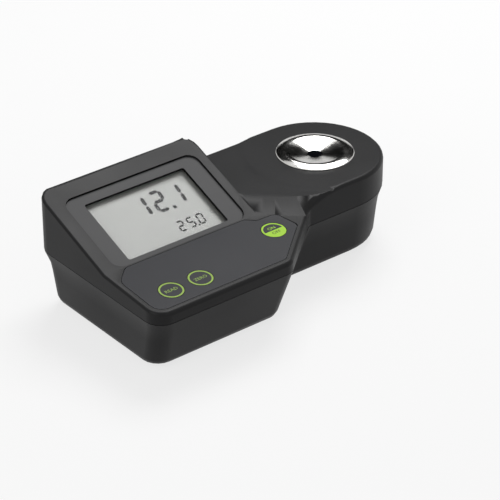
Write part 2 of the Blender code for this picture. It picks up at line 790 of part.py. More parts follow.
def pillar_top(x, y):
    """Height at which a boss in the upper case ends, inside the wall over it."""
    if x > POD_RIGHT_X:
        return NECK_Z - WALL / 2
    tilt = DISPLAY_TILT if y > BEND_Y else KEYPAD_TILT
    return BEND_Z + (y - BEND_Y) * math.tan(tilt) - WALL


def cut_seam(shell, seam):
    """The rebate over the lower case's lip and the gasket, and the holes of the case screws."""
    inset = LIP_INSET - GAP
    high = seam + LIP_RISE + SEAL_HEIGHT + 3 * GAP
    rebate = piece("rebate", prism(case_outline(inset, inset), seam - OVERRUN, high), None, shell.parent)
    cut(rebate, prism(case_outline(LIP_CLEAR_INSET, LIP_CLEAR_INSET), seam - 2 * OVERRUN, TOP_CLEAR_Z))
    combine(shell, rebate, "DIFFERENCE")
    for x, y in SCREW_PLACES:
        cut(shell, cylinder(x, y, SCREW_RADIUS + GAP, seam - OVERRUN, seam + SCREW_BITE + 2 * GAP))


def cut_display(shell):
    """The bezel's recess, the pockets of the pane and the display, and the stack's screw holes."""
    depths = display_depths()
    recess = prism(bezel_outline(GAP), -depths["pane_top"], OVERRUN)
    pocket = prism(view_outline(PANE_MARGIN + GAP, VIEW_CORNER), -depths["lcd_top"], 0.0)
    opening = prism(view_outline(GLASS_MARGIN + GAP, VIEW_CORNER), -depths["holder_top"] - 2 * GAP, 0.0)
    for tool in (recess, pocket, opening):
        cut(shell, tilted(tool, DISPLAY_TILT))
    pad_low = -depths["lcd_bottom"]
    for x, v in display_screws():
        hole = cylinder(x, v, SMALL_SCREW_RADIUS + GAP, pad_low - OVERRUN, pad_low + SMALL_BITE + GAP)
        cut(shell, tilted(hole, DISPLAY_TILT))


def cut_keypad(shell):
    """The recess of the printed sheet, each key's shallow well and stem hole, and the board's bosses."""
    cut(shell, tilted(prism(overlay_outline(GAP), -OVERLAY_THICK - GAP, OVERRUN), KEYPAD_TILT))
    well_low = -OVERLAY_THICK - 2 * GAP - KEY_TRAVEL
    for x, y in KEY_PLACES.values():
        v = slope_of_keypad(y)
        key_well = cylinder(x, v, KEY_RING_RADIUS + GAP, well_low, OVERRUN, ROUND_SIDES)
        cut(shell, tilted(key_well, KEYPAD_TILT))
        cut(shell, tilted(cylinder(x, v, KEY_STEM_RADIUS + GAP, -WALL - OVERRUN, OVERRUN), KEYPAD_TILT))
    low = -board_depth()
    for x, y in KEYPAD_SCREWS:
        v = slope_of_keypad(y)
        join(shell, tilted(cylinder(x, v, BOSS_RADIUS, low + GAP, -WALL / 2), KEYPAD_TILT))
        hole = cylinder(x, v, SMALL_SCREW_RADIUS + GAP, low - OVERRUN, low + SMALL_BITE + 2 * GAP)
        cut(shell, tilted(hole, KEYPAD_TILT))


def cut_head(shell):
    """The bore of the dish, and the bosses of the optics block beside it."""
    top = NECK_Z + DISC_RISE
    low = optics_heights()["block_top"] + GAP
    for side in (-1, 1):
        y = HEAD_Y + side * EAR_SCREW_SPREAD
        join(shell, cylinder(HEAD_X, y, EAR_BOSS_RADIUS, low, top - WALL / 2))
        cut(shell, cylinder(HEAD_X, y, SMALL_SCREW_RADIUS + GAP, low - OVERRUN, low + SMALL_BITE + GAP))
    cut(shell, cylinder(HEAD_X, HEAD_Y, DISH_CUP_RADIUS + GAP, top - 2 * OVERRUN, top + OVERRUN, DISH_SIDES))


def make_upper_case(finish, parent):
    seam = PARTING_Z + GAP / 2
    shell = case_top_form("upper_case", 0.0, seam, parent)
    shell.data.materials.append(finish)
    combine(shell, case_top_form("hollow", WALL, seam - OVERRUN, parent), "DIFFERENCE")
    pad = prism(bezel_outline(PAD_MARGIN), -display_depths()["lcd_bottom"], -WALL / 2)
    join(shell, tilted(pad, DISPLAY_TILT))
    for x, y in SCREW_PLACES:
        join(shell, cylinder(x, y, BOSS_RADIUS, seam + GAP, pillar_top(x, y)))
    cut_seam(shell, seam)
    cut_display(shell)
    cut_keypad(shell)
    cut_head(shell)
    smooth(shell)


def base_inset(z):
    """How far the rounded edge of the underside is drawn in at height z."""
    if z >= BASE_ROUND:
        return 0.0
    return BASE_ROUND - math.sqrt(BASE_ROUND**2 - (BASE_ROUND - z) ** 2)


def lower_insets(z):
    """How far the side walls and the front walls are drawn in at height z."""
    drop = (PARTING_Z - z) / PARTING_Z
    tuck = min((PARTING_Z - z) / TUCK_HEIGHT, 1.0)
    tuck = tuck * tuck * (3 - 2 * tuck)
    return SIDE_TUCK * tuck + SIDE_TAPER * drop + base_inset(z), FRONT_TAPER * drop + base_inset(z)


def lower_form(offset, low, high, wall_levels):
    """The lower case's outer form between two heights, drawn in by offset."""
    levels = []
    for step in range(BASE_ROUND_STEPS + 1):
        angle = math.pi / 2 * step / BASE_ROUND_STEPS
        levels.append(BASE_ROUND * (1 - math.cos(angle)))
    for step in range(1, wall_levels + 1):
        levels.append(BASE_ROUND + (PARTING_Z - BASE_ROUND) * step / wall_levels)
    top = min(high, PARTING_Z)
    levels = [low] + [z for z in levels if low + GAP < z < top - GAP] + [top]
    rings = []
    for z in levels:
        side, front = lower_insets(z)
        shrink = offset + base_inset(z) * BASE_CORNER_SHARE
        rings.append(ring_at(case_outline(side + offset, front + offset, shrink), z))
    if high > PARTING_Z:
        rings.append(ring_at(case_outline(offset, offset), high))
    return loft(rings)


def well_depths():
    """Heights of the faces in the battery well's mouth, from the case's underside up."""
    heights = {"cover_top": COVER_SINK + COVER_THICK}
    heights["seal_low"] = heights["cover_top"] + GAP
    heights["seal_high"] = heights["seal_low"] + COVER_SEAL_HEIGHT
    heights["ledge_low"] = heights["seal_high"] + GAP
    heights["ledge_high"] = heights["ledge_low"] + LEDGE_HEIGHT
    heights["lug_low"] = heights["ledge_high"] + GAP
    heights["lug_high"] = heights["lug_low"] + LUG_HEIGHT
    heights["battery_low"] = heights["lug_high"] + GAP
    heights["ceiling"] = heights["battery_low"] + BATTERY_HEIGHT + BATTERY_ROOM
    return heights


def sector(inner, outer, middle, spread, low, high, x=0.0, y=0.0):
    """A piece of a ring between two radii, spread to both sides of its middle angle."""
    points = []
    for step in range(ROUND_STEPS + 1):
        angle = middle - spread / 2 + spread * step / ROUND_STEPS
        points.append((x + outer * math.cos(angle), y + outer * math.sin(angle)))
    for step in range(ROUND_STEPS + 1):
        angle = middle + spread / 2 - spread * step / ROUND_STEPS
        points.append((x + inner * math.cos(angle), y + inner * math.sin(angle)))
    return prism(points, low, high)


def lead_places():
    """Plan places of the two battery leads, just clear of the battery's studs."""
    x = WELL_X + (BATTERY_LENGTH + STUD_RISE) / 2 + GAP + LEAD_RADIUS
    return [(x, WELL_Y + side * STUD_SPACING / 2) for side in (-1, 1)]


def add_well(shell):
    """The battery's round well with its ledge, the gaps for the cover's lugs, and the lead holes."""
    heights = well_depths()
    bore = COVER_RADIUS + GAP
    ceiling = heights["ceiling"]
    join(shell, cylinder(WELL_X, WELL_Y, bore + WELL_WALL, WALL / 2, ceiling + WELL_WALL, WELL_SIDES))
    cut(shell, cylinder(WELL_X, WELL_Y, bore, -OVERRUN, heights["ledge_low"], WELL_SIDES))
    cut(shell, cylinder(WELL_X, WELL_Y, NECK_RADIUS + GAP, 0.0, ceiling, WELL_SIDES))
    cut(shell, cylinder(WELL_X, WELL_Y, bore, heights["ledge_high"], ceiling, WELL_SIDES))
    for index in range(LUG_COUNT):
        middle = math.tau * index / LUG_COUNT
        spread = LUG_ANGLE + 2 * LUG_CLEAR_ANGLE
        inner = NECK_RADIUS - NECK_WALL
        cut(shell, sector(inner, bore, middle, spread, 0.0, heights["lug_high"], WELL_X, WELL_Y))
    for x, y in lead_places():
        cut(shell, cylinder(x, y, LEAD_RADIUS + GAP, ceiling - OVERRUN, ceiling + OVERRUN))


def make_lower_case(finish, parent):
    seam = PARTING_Z - GAP / 2
    shell = piece("lower_case", lower_form(0.0, 0.0, seam, WALL_LEVELS), finish, parent)
    cut(shell, lower_form(WALL, WALL, seam + OVERRUN, HOLLOW_LEVELS))
    add_well(shell)
    for x, y in SCREW_PLACES:
        join(shell, cylinder(x, y, BOSS_RADIUS, WALL / 2, seam))
    for x, y in SCREW_PLACES:
        cut(shell, cylinder(x, y, SCREW_RADIUS + GAP, -OVERRUN, seam + OVERRUN))
        cut(shell, cylinder(x, y, SCREW_HEAD_RADIUS + GAP, -OVERRUN, SCREW_SINK))
    for x, y in FOOT_PLACES.values():
        cut(shell, cylinder(x, y, FOOT_RADIUS + GAP, -OVERRUN, FOOT_SEAT, ROUND_SIDES))
    lip = prism(case_outline(LIP_INSET, LIP_INSET), seam - OVERRUN / 2, seam + LIP_RISE)
    lip = piece("lip", lip, None, parent)
    reach = LIP_INSET + LIP_WIDTH + GAP
    cut(lip, prism(case_outline(reach, reach), seam - OVERRUN, seam + OVERRUN))
    join(shell, lip)
    smooth(shell)


def make_case_gasket(finish, parent):
    low = PARTING_Z - GAP / 2 + LIP_RISE + GAP
    high = low + SEAL_HEIGHT
    ring = piece("case_gasket", prism(case_outline(LIP_INSET, LIP_INSET), low, high), finish, parent)
    reach = LIP_INSET + LIP_WIDTH
    cut(ring, prism(case_outline(reach, reach), low - OVERRUN, high + OVERRUN))


def display_layer(outline, depths, top, bottom):
    """A flat layer of the display stack between two named depths."""
    return tilted(prism(outline, -depths[bottom], -depths[top]), DISPLAY_TILT)


def make_display(finishes, parent):
    """The bezel, clear pane, display glass, its holder with the contact strip, and the main board."""
    depths = display_depths()
    bezel = display_layer(bezel_outline(0.0), depths, "bezel_top", "bezel_bottom")
    bezel = piece("display_bezel", bezel, finishes["bezel"], parent)
    opening = prism(view_outline(0.0, VIEW_CORNER), -depths["bezel_bottom"] - OVERRUN, OVERRUN)
    cut(bezel, tilted(opening, DISPLAY_TILT))
    pane = display_layer(view_outline(PANE_MARGIN, VIEW_CORNER), depths, "pane_top", "pane_bottom")
    piece("display_window", pane, finishes["clear"], parent)
    glass = display_layer(view_outline(GLASS_MARGIN, VIEW_CORNER), depths, "lcd_top", "lcd_bottom")
    piece("lcd_glass", glass, finishes["lcd"], parent)
    left = BEZEL_LEFT_X + GAP
    right = BEZEL_RIGHT_X - GAP
    low = BEZEL_LOW_V + GAP
    outline = [(left, low), (right, low), (right, HOLDER_HIGH_V), (left, HOLDER_HIGH_V)]
    holder = display_layer(outline, depths, "holder_top", "holder_bottom")
    holder = piece("lcd_holder", holder, finishes["inner"], parent)
    board = display_layer(outline, depths, "board_top", "board_bottom")
    board = piece("main_board", board, finishes["board"], parent)
    make_contact_strip(holder, depths, finishes["rubber"], parent)
    fasten_display((holder, board), depths, finishes["steel"], parent)
    make_processor((left + right) / 2, HOLDER_HIGH_V / 2, depths, finishes["inner"], parent)


def make_contact_strip(holder, depths, finish, parent):
    """The rubber strip that joins the display to the board, in a slot of the holder."""
    low = VIEW_LOW_V + STRIP_INSET - STRIP_WIDTH / 2
    high = low + STRIP_WIDTH
    under = -depths["holder_bottom"]
    slot = block((VIEW_LEFT_X - GAP, low - GAP, under - OVERRUN), (VIEW_RIGHT_X + GAP, high + GAP, 0.0))
    cut(holder, tilted(slot, DISPLAY_TILT))
    strip = block((VIEW_LEFT_X, low, under), (VIEW_RIGHT_X, high, -depths["holder_top"]))
    piece("lcd_contact_strip", tilted(strip, DISPLAY_TILT), finish, parent)


def fasten_display(targets, depths, finish, parent):
    """The screws that hold the display's holder and board to the upper case."""
    under = -depths["board_bottom"]
    for number, (x, v) in enumerate(display_screws(), 1):
        for target in targets:
            hole = cylinder(x, v, SMALL_SCREW_RADIUS + GAP, under - OVERRUN, 0.0)
            cut(target, tilted(hole, DISPLAY_TILT))
        tip = -depths["lcd_bottom"] + SMALL_BITE
        screw = screw_mesh(x, v, SMALL_SCREW_RADIUS, SMALL_HEAD_RADIUS, SMALL_HEAD_HEIGHT, under - GAP, tip)
        piece(f"board_screw_{number}", tilted(screw, DISPLAY_TILT), finish, parent)


def make_processor(x, v, depths, finish, parent):
    high = -depths["board_bottom"] - GAP
    half = CHIP_SIDE / 2
    chip = block((x - half, v - half, high - CHIP_HEIGHT), (x + half, v + half, high))
    piece("processor", tilted(chip, DISPLAY_TILT), finish, parent)


def screw_mesh(x, y, radius, head_radius, head_height, seat, tip):
    """A screw with its head below seat and its shank up to tip, as one turned solid."""
    rings = []
    for r, z in ((head_radius, seat - head_height), (head_radius, seat), (radius, seat), (radius, tip)):
        rings.append(ring_at(circle_points(x, y, r, SMALL_SIDES), z))
    return loft(rings)


def make_keypad(finishes, parent):
    """The printed sheet, and under it the board."""
    sheet = tilted(prism(overlay_outline(0.0), -OVERLAY_THICK, 0.0), KEYPAD_TILT)
    sheet = piece("keypad_overlay", sheet, finishes["overlay"], parent)
    for x, y in KEY_PLACES.values():
        hole = cylinder(x, slope_of_keypad(y), KEY_RING_RADIUS + GAP, -OVERRUN, OVERRUN, ROUND_SIDES)
        cut(sheet, tilted(hole, KEYPAD_TILT))
    top = board_depth()
    right = POD_RIGHT_X + KEY_BOARD_OUT
    rear = BEND_Y - KEY_BOARD_REAR_DROP
    corners = [
        (KEY_BOARD_X, KEY_BOARD_Y),
        (SLANT_START_X - KEY_BOARD_SLANT_IN, KEY_BOARD_Y),
        (right, BEND_Y - KEY_BOARD_NOSE_DROP),
        (right, rear),
        (KEY_BOARD_X, rear),
    ]
    outline = rounded_outline([(x, slope_of_keypad(y), KEY_BOARD_CORNER) for x, y in corners], ROUND_STEPS)
    board = tilted(prism(outline, -top - BOARD_THICK, -top), KEYPAD_TILT)
    board = piece("keypad_board", board, finishes["board"], parent)
    for x, y in SCREW_PLACES[:2]:
        cut(board, cylinder(x, y, BOSS_RADIUS + 2 * GAP, 0.0, TOP_CLEAR_Z))
    seat = -top - BOARD_THICK - GAP
    tip = -top + SMALL_BITE
    for number, (x, y) in enumerate(KEYPAD_SCREWS, 1):
        v = slope_of_keypad(y)
        cut(board, tilted(cylinder(x, v, SMALL_SCREW_RADIUS + GAP, -top - OVERRUN, 0.0), KEYPAD_TILT))
        screw = screw_mesh(x, v, SMALL_SCREW_RADIUS, SMALL_HEAD_RADIUS, SMALL_HEAD_HEIGHT, seat, tip)
        piece(f"keypad_screw_{number}", tilted(screw, KEYPAD_TILT), finishes["steel"], parent)


def make_key(name, place, finishes, parent):
    """One key: the pressed disc of the sheet with its stem, the switch under it and the switch's plunger."""
    x, y = place
    axis = bpy.data.objects.new(f"{name}_axis", None)
    bpy.context.scene.collection.objects.link(axis)
    axis.parent = parent
    rise = (y - BEND_Y) * math.tan(KEYPAD_TILT)
    axis.location = (x, y, BEND_Z + rise)
    axis.rotation_euler = (KEYPAD_TILT, 0.0, 0.0)
    stem_low = -SWITCH_DEPTH + PLUNGER_RISE + GAP
    rings = []
    for radius, z in (
        (KEY_STEM_RADIUS, stem_low),
        (KEY_STEM_RADIUS, -OVERLAY_THICK),
        (KEY_RING_RADIUS, -OVERLAY_THICK),
        (KEY_RING_RADIUS, 0.0),
    ):
        rings.append(ring_at(circle_points(0.0, 0.0, radius, ROUND_SIDES), z))
    smooth(piece(f"{name}_key", loft(rings), finishes["overlay"], axis))
    half = SWITCH_SIDE / 2
    body = block((-half, -half, -SWITCH_DEPTH - SWITCH_HEIGHT), (half, half, -SWITCH_DEPTH))
    body = piece(f"{name}_switch", body, finishes["inner"], axis)
    pocket = PLUNGER_RISE + KEY_TRAVEL + 2 * GAP
    cut(body, cylinder(0.0, 0.0, PLUNGER_RADIUS + GAP, -SWITCH_DEPTH - pocket, 0.0))
    low = -SWITCH_DEPTH - PLUNGER_RISE
    plunger = cylinder(0.0, 0.0, PLUNGER_RADIUS, low, -SWITCH_DEPTH + PLUNGER_RISE)
    piece(f"{name}_plunger", plunger, finishes["white"], axis)


def dish_profile():
    """Half section of the dish as (radius, height): inner edge, underside and cup, edge, slope and crest."""
    top = NECK_Z + DISC_RISE
    heights = optics_heights()
    hole = PRISM_FACE_RADIUS + GAP
    cup = DISH_CUP_RADIUS
    roof = top + CONE_TOP_RISE - DISH_SHEET
    return [
        (hole, heights["floor"]),
        (hole, heights["under"]),
        (CONE_TOP_RADIUS, roof),
        (cup - DISH_SHEET, roof),
        (cup - DISH_SHEET, top - DISH_SKIRT),
        (cup, top - DISH_SKIRT),
        (cup, top + GAP),
        (RING_RADIUS, top + GAP),
        (RING_RADIUS, top + RING_EDGE_RISE),
        (RING_SHOULDER_RADIUS, top + RING_SHOULDER_RISE),
        (RING_SLOPE_RADIUS, top + RING_SLOPE_RISE),
        (RING_CREST_RADIUS, top + RING_CREST_RISE),
        (CONE_TOP_RADIUS, top + CONE_TOP_RISE),
    ]


def prism_wedge(half, reach, top, low):
    """A block with slanted ends along X under the head's middle, half wide to both sides."""
    profile = [(-reach, top), (-reach / 2, low), (reach / 2, low), (reach, top)]
    near = [(HEAD_X + x, HEAD_Y - half, z) for x, z in profile]
    far = [(HEAD_X + x, HEAD_Y + half, z) for x, z in profile]
    return loft([near, far])


def make_well(finishes, parent):
    """The steel sample dish, the prism that looks up through its middle, and the prism's seal."""
    heights = optics_heights()
    dish = revolve(dish_profile(), DISH_SIDES, HEAD_X, HEAD_Y)
    smooth(piece("sample_dish", dish, finishes["dish"], parent))
    inner = PRISM_FACE_RADIUS + GAP
    outer = inner + PRISM_COLLAR
    low, high = heights["seal_low"], heights["seal_high"]
    seal = [(inner, low), (outer, low), (outer, high), (inner, high)]
    piece("prism_seal", revolve(seal, ROUND_SIDES, HEAD_X, HEAD_Y), finishes["rubber"], parent)
    shoulder = heights["shoulder"]
    high = heights["floor"] - PRISM_FACE_DROP
    face = cylinder(HEAD_X, HEAD_Y, PRISM_FACE_RADIUS, shoulder - GAP, high, ROUND_SIDES)
    glass = piece("prism", face, finishes["prism"], parent)
    join(glass, prism_wedge(PRISM_WIDTH / 2, PRISM_LENGTH / 2, shoulder, shoulder - PRISM_DEPTH))


def make_optics(finishes, parent):
    """The block under the dish with its light source, lens, sensor, board and temperature probe."""
    heights = optics_heights()
    shoulder, top = heights["shoulder"], heights["block_top"]
    x, y = HEAD_X, HEAD_Y
    half = BLOCK_LENGTH / 2
    body = block((x - half, y - BLOCK_WIDTH / 2, top - BLOCK_HEIGHT), (x + half, y + BLOCK_WIDTH / 2, top))
    body = piece("optics_block", body, finishes["inner"], parent)
    ear = EAR_WIDTH / 2
    join(body, block((x - ear, y - EAR_REACH, top - EAR_THICK), (x + ear, y + EAR_REACH, top)))
    low = shoulder - PRISM_DEPTH - GAP
    cut(body, prism_wedge(PRISM_WIDTH / 2 + GAP, PRISM_LENGTH / 2 + 2 * GAP, top + GAP, low))
    light_z = shoulder - PRISM_DEPTH / 2
    cut(body, sideways(cylinder(0.0, 0.0, LENS_RADIUS + GAP, -BLOCK_LENGTH, BLOCK_LENGTH), x, y, light_z))
    fasten_optics(body, top, finishes["steel"], parent)
    lens_end = PRISM_LENGTH / 2 + 2 * GAP
    lens = cylinder(0.0, 0.0, LENS_RADIUS, -lens_end - LENS_THICK, -lens_end)
    piece("lens", sideways(lens, x, y, light_z), finishes["clear"], parent)
    tip = -lens_end - LENS_THICK - GAP
    lamp = screw_mesh(0.0, 0.0, LED_RADIUS, LENS_RADIUS, LED_LENGTH / 2, tip - LED_LENGTH / 2, tip)
    piece("light_source", sideways(lamp, x, y, light_z), finishes["white"], parent)
    make_sensor(light_z, finishes, parent)
    probe_y = y + BLOCK_WIDTH / 2 - PROBE_LENGTH / 2
    probe = cylinder(x, probe_y, PROBE_RADIUS, shoulder, shoulder + PRISM_COLLAR + GAP)
    piece("temperature_probe", probe, finishes["steel"], parent)


def fasten_optics(body, top, finish, parent):
    """The two screws through the block's ears into the upper case."""
    seat = top - EAR_THICK - GAP
    tip = top + GAP + SMALL_BITE
    for number, side in enumerate((-1, 1), 1):
        y = HEAD_Y + side * EAR_SCREW_SPREAD
        cut(body, cylinder(HEAD_X, y, SMALL_SCREW_RADIUS + GAP, seat - OVERRUN, top + OVERRUN))
        screw = screw_mesh(HEAD_X, y, SMALL_SCREW_RADIUS, SMALL_HEAD_RADIUS, SMALL_HEAD_HEIGHT, seat, tip)
        piece(f"optics_screw_{number}", screw, finish, parent)


def sensor_board_x():
    """The near face of the sensor's board."""
    return HEAD_X + BLOCK_LENGTH / 2 + GAP + SENSOR_THICK + GAP


def make_sensor(light_z, finishes, parent):
    face = HEAD_X + BLOCK_LENGTH / 2 + GAP
    low = (face, HEAD_Y - SENSOR_LENGTH / 2, light_z - SENSOR_WIDTH / 2)
    high = (face + SENSOR_THICK, HEAD_Y + SENSOR_LENGTH / 2, light_z + SENSOR_WIDTH / 2)
    piece("image_sensor", block(low, high), finishes["inner"], parent)
    top = optics_heights()["block_top"]
    x = sensor_board_x()
    low = (x, HEAD_Y - SENSOR_BOARD_LENGTH / 2, top - SENSOR_BOARD_HEIGHT)
    high = (x + BOARD_THICK, HEAD_Y + SENSOR_BOARD_LENGTH / 2, top)
    piece("sensor_board", block(low, high), finishes["board"], parent)


def sideways(mesh, x, y, z):
    """Turns a mesh made along Z so that it lies along X, and puts it at a place."""
    place = Matrix.Translation((x, y, z)) @ Matrix.Rotation(math.pi / 2, 4, "Y")
    bmesh.ops.transform(mesh, matrix=place, verts=mesh.verts)
    return mesh


def main_board_under(y):
    """Height of the main board's underside over a plan distance y."""
    depth = display_depths()["board_bottom"] / math.cos(DISPLAY_TILT)
    return BEND_Z + (y - BEND_Y) * math.tan(DISPLAY_TILT) - depth


def deck_point(tilt, v, height):
    """A point of a deck's own axes in the case's YZ plane."""
    y = BEND_Y + v * math.cos(tilt) - height * math.sin(tilt)
    return Vector((y, BEND_Z + v * math.sin(tilt) + height * math.cos(tilt)))


def make_ribbon(finish, parent):
    """The flat cable from under the key pad's board to under the main board."""
    half = RIBBON_THICK / 2
    rear = BEND_Y - KEY_BOARD_REAR_DROP
    key_height = -board_depth() - BOARD_THICK - GAP - half
    main_height = -display_depths()["board_bottom"] - GAP - half
    line = [
        deck_point(KEYPAD_TILT, slope_of_keypad(rear - RIBBON_LAP), key_height),
        deck_point(KEYPAD_TILT, slope_of_keypad(rear), key_height),
        deck_point(DISPLAY_TILT, BEZEL_LOW_V + GAP, main_height),
        deck_point(DISPLAY_TILT, BEZEL_LOW_V + RIBBON_LAP, main_height),
    ]
    line.insert(2, (line[1] + line[2]) / 2 - Vector((0.0, RIBBON_SAG)))
    upper = []
    lower = []
    for index, point in enumerate(line):
        run = (line[min(index + 1, len(line) - 1)] - line[max(index - 1, 0)]).normalized()
        across = Vector((-run.y, run.x)) * half
        upper.append(point + across)
        lower.append(point - across)
    profile = lower + list(reversed(upper))
    left = BEZEL_LEFT_X + DISPLAY_SCREW_INSET_X + RIBBON_SIDE
    near = [(left, y, z) for y, z in profile]
    far = [(left + RIBBON_WIDTH, y, z) for y, z in profile]
    piece("ribbon_cable", loft([near, far]), finish, parent)


def bent_path(corners, bend):
    """A path through corner points whose inner corners are rounded over a length to both sides."""
    path = [corners[0]]
    for before, corner, after in zip(corners, corners[1:], corners[2:]):
        start = corner + (before - corner).normalized() * bend
        end = corner + (after - corner).normalized() * bend
        for step in range(WIRE_BEND_STEPS + 1):
            share = step / WIRE_BEND_STEPS
            path.append(start.lerp(corner, share).lerp(corner.lerp(end, share), share))
    path.append(corners[-1])
    return path


def tube(path, radius):
    """A round wire along a path, with flat ends."""
    heading = (path[1] - path[0]).normalized()
    side = heading.orthogonal().normalized()
    rings = []
    for index, point in enumerate(path):
        turned = (path[min(index + 1, len(path) - 1)] - path[max(index - 1, 0)]).normalized()
        side = heading.rotation_difference(turned) @ side
        heading = turned
        other = heading.cross(side)
        rings.append([point + side * u + other * v for u, v in circle_points(0.0, 0.0, radius, WIRE_SIDES)])
    return loft(rings)


def make_cables(finishes, parent):
    """The ribbon cable, the sensor board's cable along the rear wall, and the battery's two leads."""
    make_ribbon(finishes["white"], parent)
    x = sensor_board_x() + BOARD_THICK / 2
    rear = CASE_WIDTH - WIRE_REAR_INSET
    end_x = POD_RIGHT_X - WIRE_END_SIDE
    end_y = CASE_WIDTH - WIRE_END_BACK
    corners = [
        Vector((x, HEAD_Y + SENSOR_BOARD_LENGTH / 2 + GAP, WIRE_LOW_Z)),
        Vector((x, rear, WIRE_LOW_Z)),
        Vector((end_x, rear, WIRE_LOW_Z)),
        Vector((end_x, end_y, WIRE_LOW_Z)),
        Vector((end_x, end_y, main_board_under(end_y - WIRE_RADIUS) - GAP)),
    ]
    wire = tube(bent_path(corners, WIRE_BEND), WIRE_RADIUS)
    smooth(piece("sensor_cable", wire, finishes["rubber"], parent))
    low = well_depths()["battery_low"] + BATTERY_HEIGHT / 2
    for number, (x, y) in enumerate(lead_places(), 1):
        high = main_board_under(y - LEAD_RADIUS) - GAP
        lead = cylinder(x, y, LEAD_RADIUS, low, high, WIRE_SIDES)
        smooth(piece(f"battery_lead_{number}", lead, finishes["rubber"], parent))


def make_battery(finishes, parent):
    """The battery block with its two studs, and the contact plate over them."""
    low = well_depths()["battery_low"]
    start = WELL_X - (BATTERY_LENGTH + STUD_RISE) / 2
    end = start + BATTERY_LENGTH
    half = BATTERY_WIDTH / 2
    tall = BATTERY_HEIGHT / 2
    corners = [(-half, -tall), (half, -tall), (half, tall), (-half, tall)]
    outline = rounded_outline([(a, b, BATTERY_CORNER) for a, b in corners], ROUND_STEPS)
    middle = low + tall
    near = [(start, WELL_Y + a, middle + b) for a, b in outline]
    far = [(end, WELL_Y + a, middle + b) for a, b in outline]
    cell = piece("battery", loft([near, far]), finishes["battery"], parent)
    plate_x = end + GAP
    far_x = plate_x + CONTACT_THICK
    plate = block((plate_x, WELL_Y - half, low), (far_x, WELL_Y + half, low + BATTERY_HEIGHT))
    plate = piece("battery_contacts", plate, finishes["board"], parent)
    for side in (-1, 1):
        y = WELL_Y + side * STUD_SPACING / 2
        join(cell, sideways(cylinder(0.0, 0.0, STUD_RADIUS, -GAP, STUD_RISE), end, y, middle))
        cut(plate, sideways(cylinder(0.0, 0.0, STUD_RADIUS + GAP, -OVERRUN, OVERRUN), plate_x, y, middle))


def make_cover(finishes, parent):
    """The round battery cover, turned on its own axis, and the seal on its neck."""
    heights = well_depths()
    axis = bpy.data.objects.new("battery_cover_axis", None)
    bpy.context.scene.collection.objects.link(axis)
    axis.parent = parent
    axis.location = (WELL_X, WELL_Y, 0.0)
    disc = cylinder(0.0, 0.0, COVER_RADIUS, COVER_SINK, heights["cover_top"], WELL_SIDES)
    cover = piece("battery_cover", disc, finishes["case"], axis)
    inner = NECK_RADIUS - NECK_WALL
    low, high = COVER_THICK / 2, heights["lug_high"]
    neck = [(inner, low), (NECK_RADIUS, low), (NECK_RADIUS, high), (inner, high)]
    join(cover, revolve(neck, WELL_SIDES))
    for index in range(LUG_COUNT):
        middle = math.tau * index / LUG_COUNT
        join(cover, sector(inner + NECK_WALL / 2, COVER_RADIUS, middle, LUG_ANGLE, heights["lug_low"], high))
    half = COIN_SLOT_WIDTH / 2
    reach = COIN_SLOT_LENGTH / 2
    cut(cover, block((-reach, -half, -OVERRUN), (reach, half, COVER_SINK + COIN_SLOT_DEPTH)))
    smooth(cover)
    seal_inner = NECK_RADIUS + GAP
    seal_outer = COVER_RADIUS - GAP
    low, high = heights["seal_low"], heights["seal_high"]
    seal = [(seal_inner, low), (seal_outer, low), (seal_outer, high), (seal_inner, high)]
    smooth(piece("battery_cover_seal", revolve(seal, WELL_SIDES), finishes["rubber"], axis))


def make_feet(finish, parent):
    for name, (x, y) in FOOT_PLACES.items():
        rings = []
        for radius, z in (
            (FOOT_RADIUS - FOOT_EDGE, -FOOT_DROP),
            (FOOT_RADIUS, -FOOT_DROP + FOOT_EDGE),
            (FOOT_RADIUS, FOOT_SEAT - GAP),
        ):
            rings.append(ring_at(circle_points(x, y, radius, ROUND_SIDES), z))
        smooth(piece(name, loft(rings), finish, parent))


def make_case_screws(finish, parent):
    for number, (x, y) in enumerate(SCREW_PLACES, 1):
        seat = SCREW_SINK - GAP
        tip = PARTING_Z + SCREW_BITE
        screw = screw_mesh(x, y, SCREW_RADIUS, SCREW_HEAD_RADIUS, SCREW_HEAD_HEIGHT, seat, tip)
        piece(f"case_screw_{number}", screw, finish, parent)


def make_finishes():
    return {
        "case": material("case_plastic", (0.045, 0.046, 0.048), 0.45),
        "bezel": material("bezel_plastic", (0.10, 0.10, 0.102), 0.5),
        "overlay": material("overlay_film", (0.06, 0.065, 0.075), 0.4),
        "inner": material("inner_plastic", (0.02, 0.02, 0.022), 0.5),
        "white": material("white_plastic", (0.75, 0.75, 0.72), 0.4),
        "board": material("circuit_board", (0.02, 0.16, 0.06), 0.5),
        "rubber": material("black_rubber", (0.015, 0.015, 0.015), 0.8),
        "steel": material("screw_steel", (0.55, 0.55, 0.56), 0.35, 1.0),
        "dish": material("polished_steel", (0.78, 0.78, 0.77), 0.12, 1.0),
        "clear": material("clear_pane", (0.9, 0.93, 0.92), 0.05, 0.0, 1.0),
        "prism": material("prism_glass", (0.12, 0.13, 0.15), 0.03, 0.0, 0.3),
        "lcd": material("display_glass", (0.50, 0.52, 0.48), 0.3),
        "battery": material("battery_can", (0.30, 0.31, 0.33), 0.4, 0.6),
    }


def clear_scene():
    for old in list(bpy.data.objects):
        bpy.data.objects.remove(old)


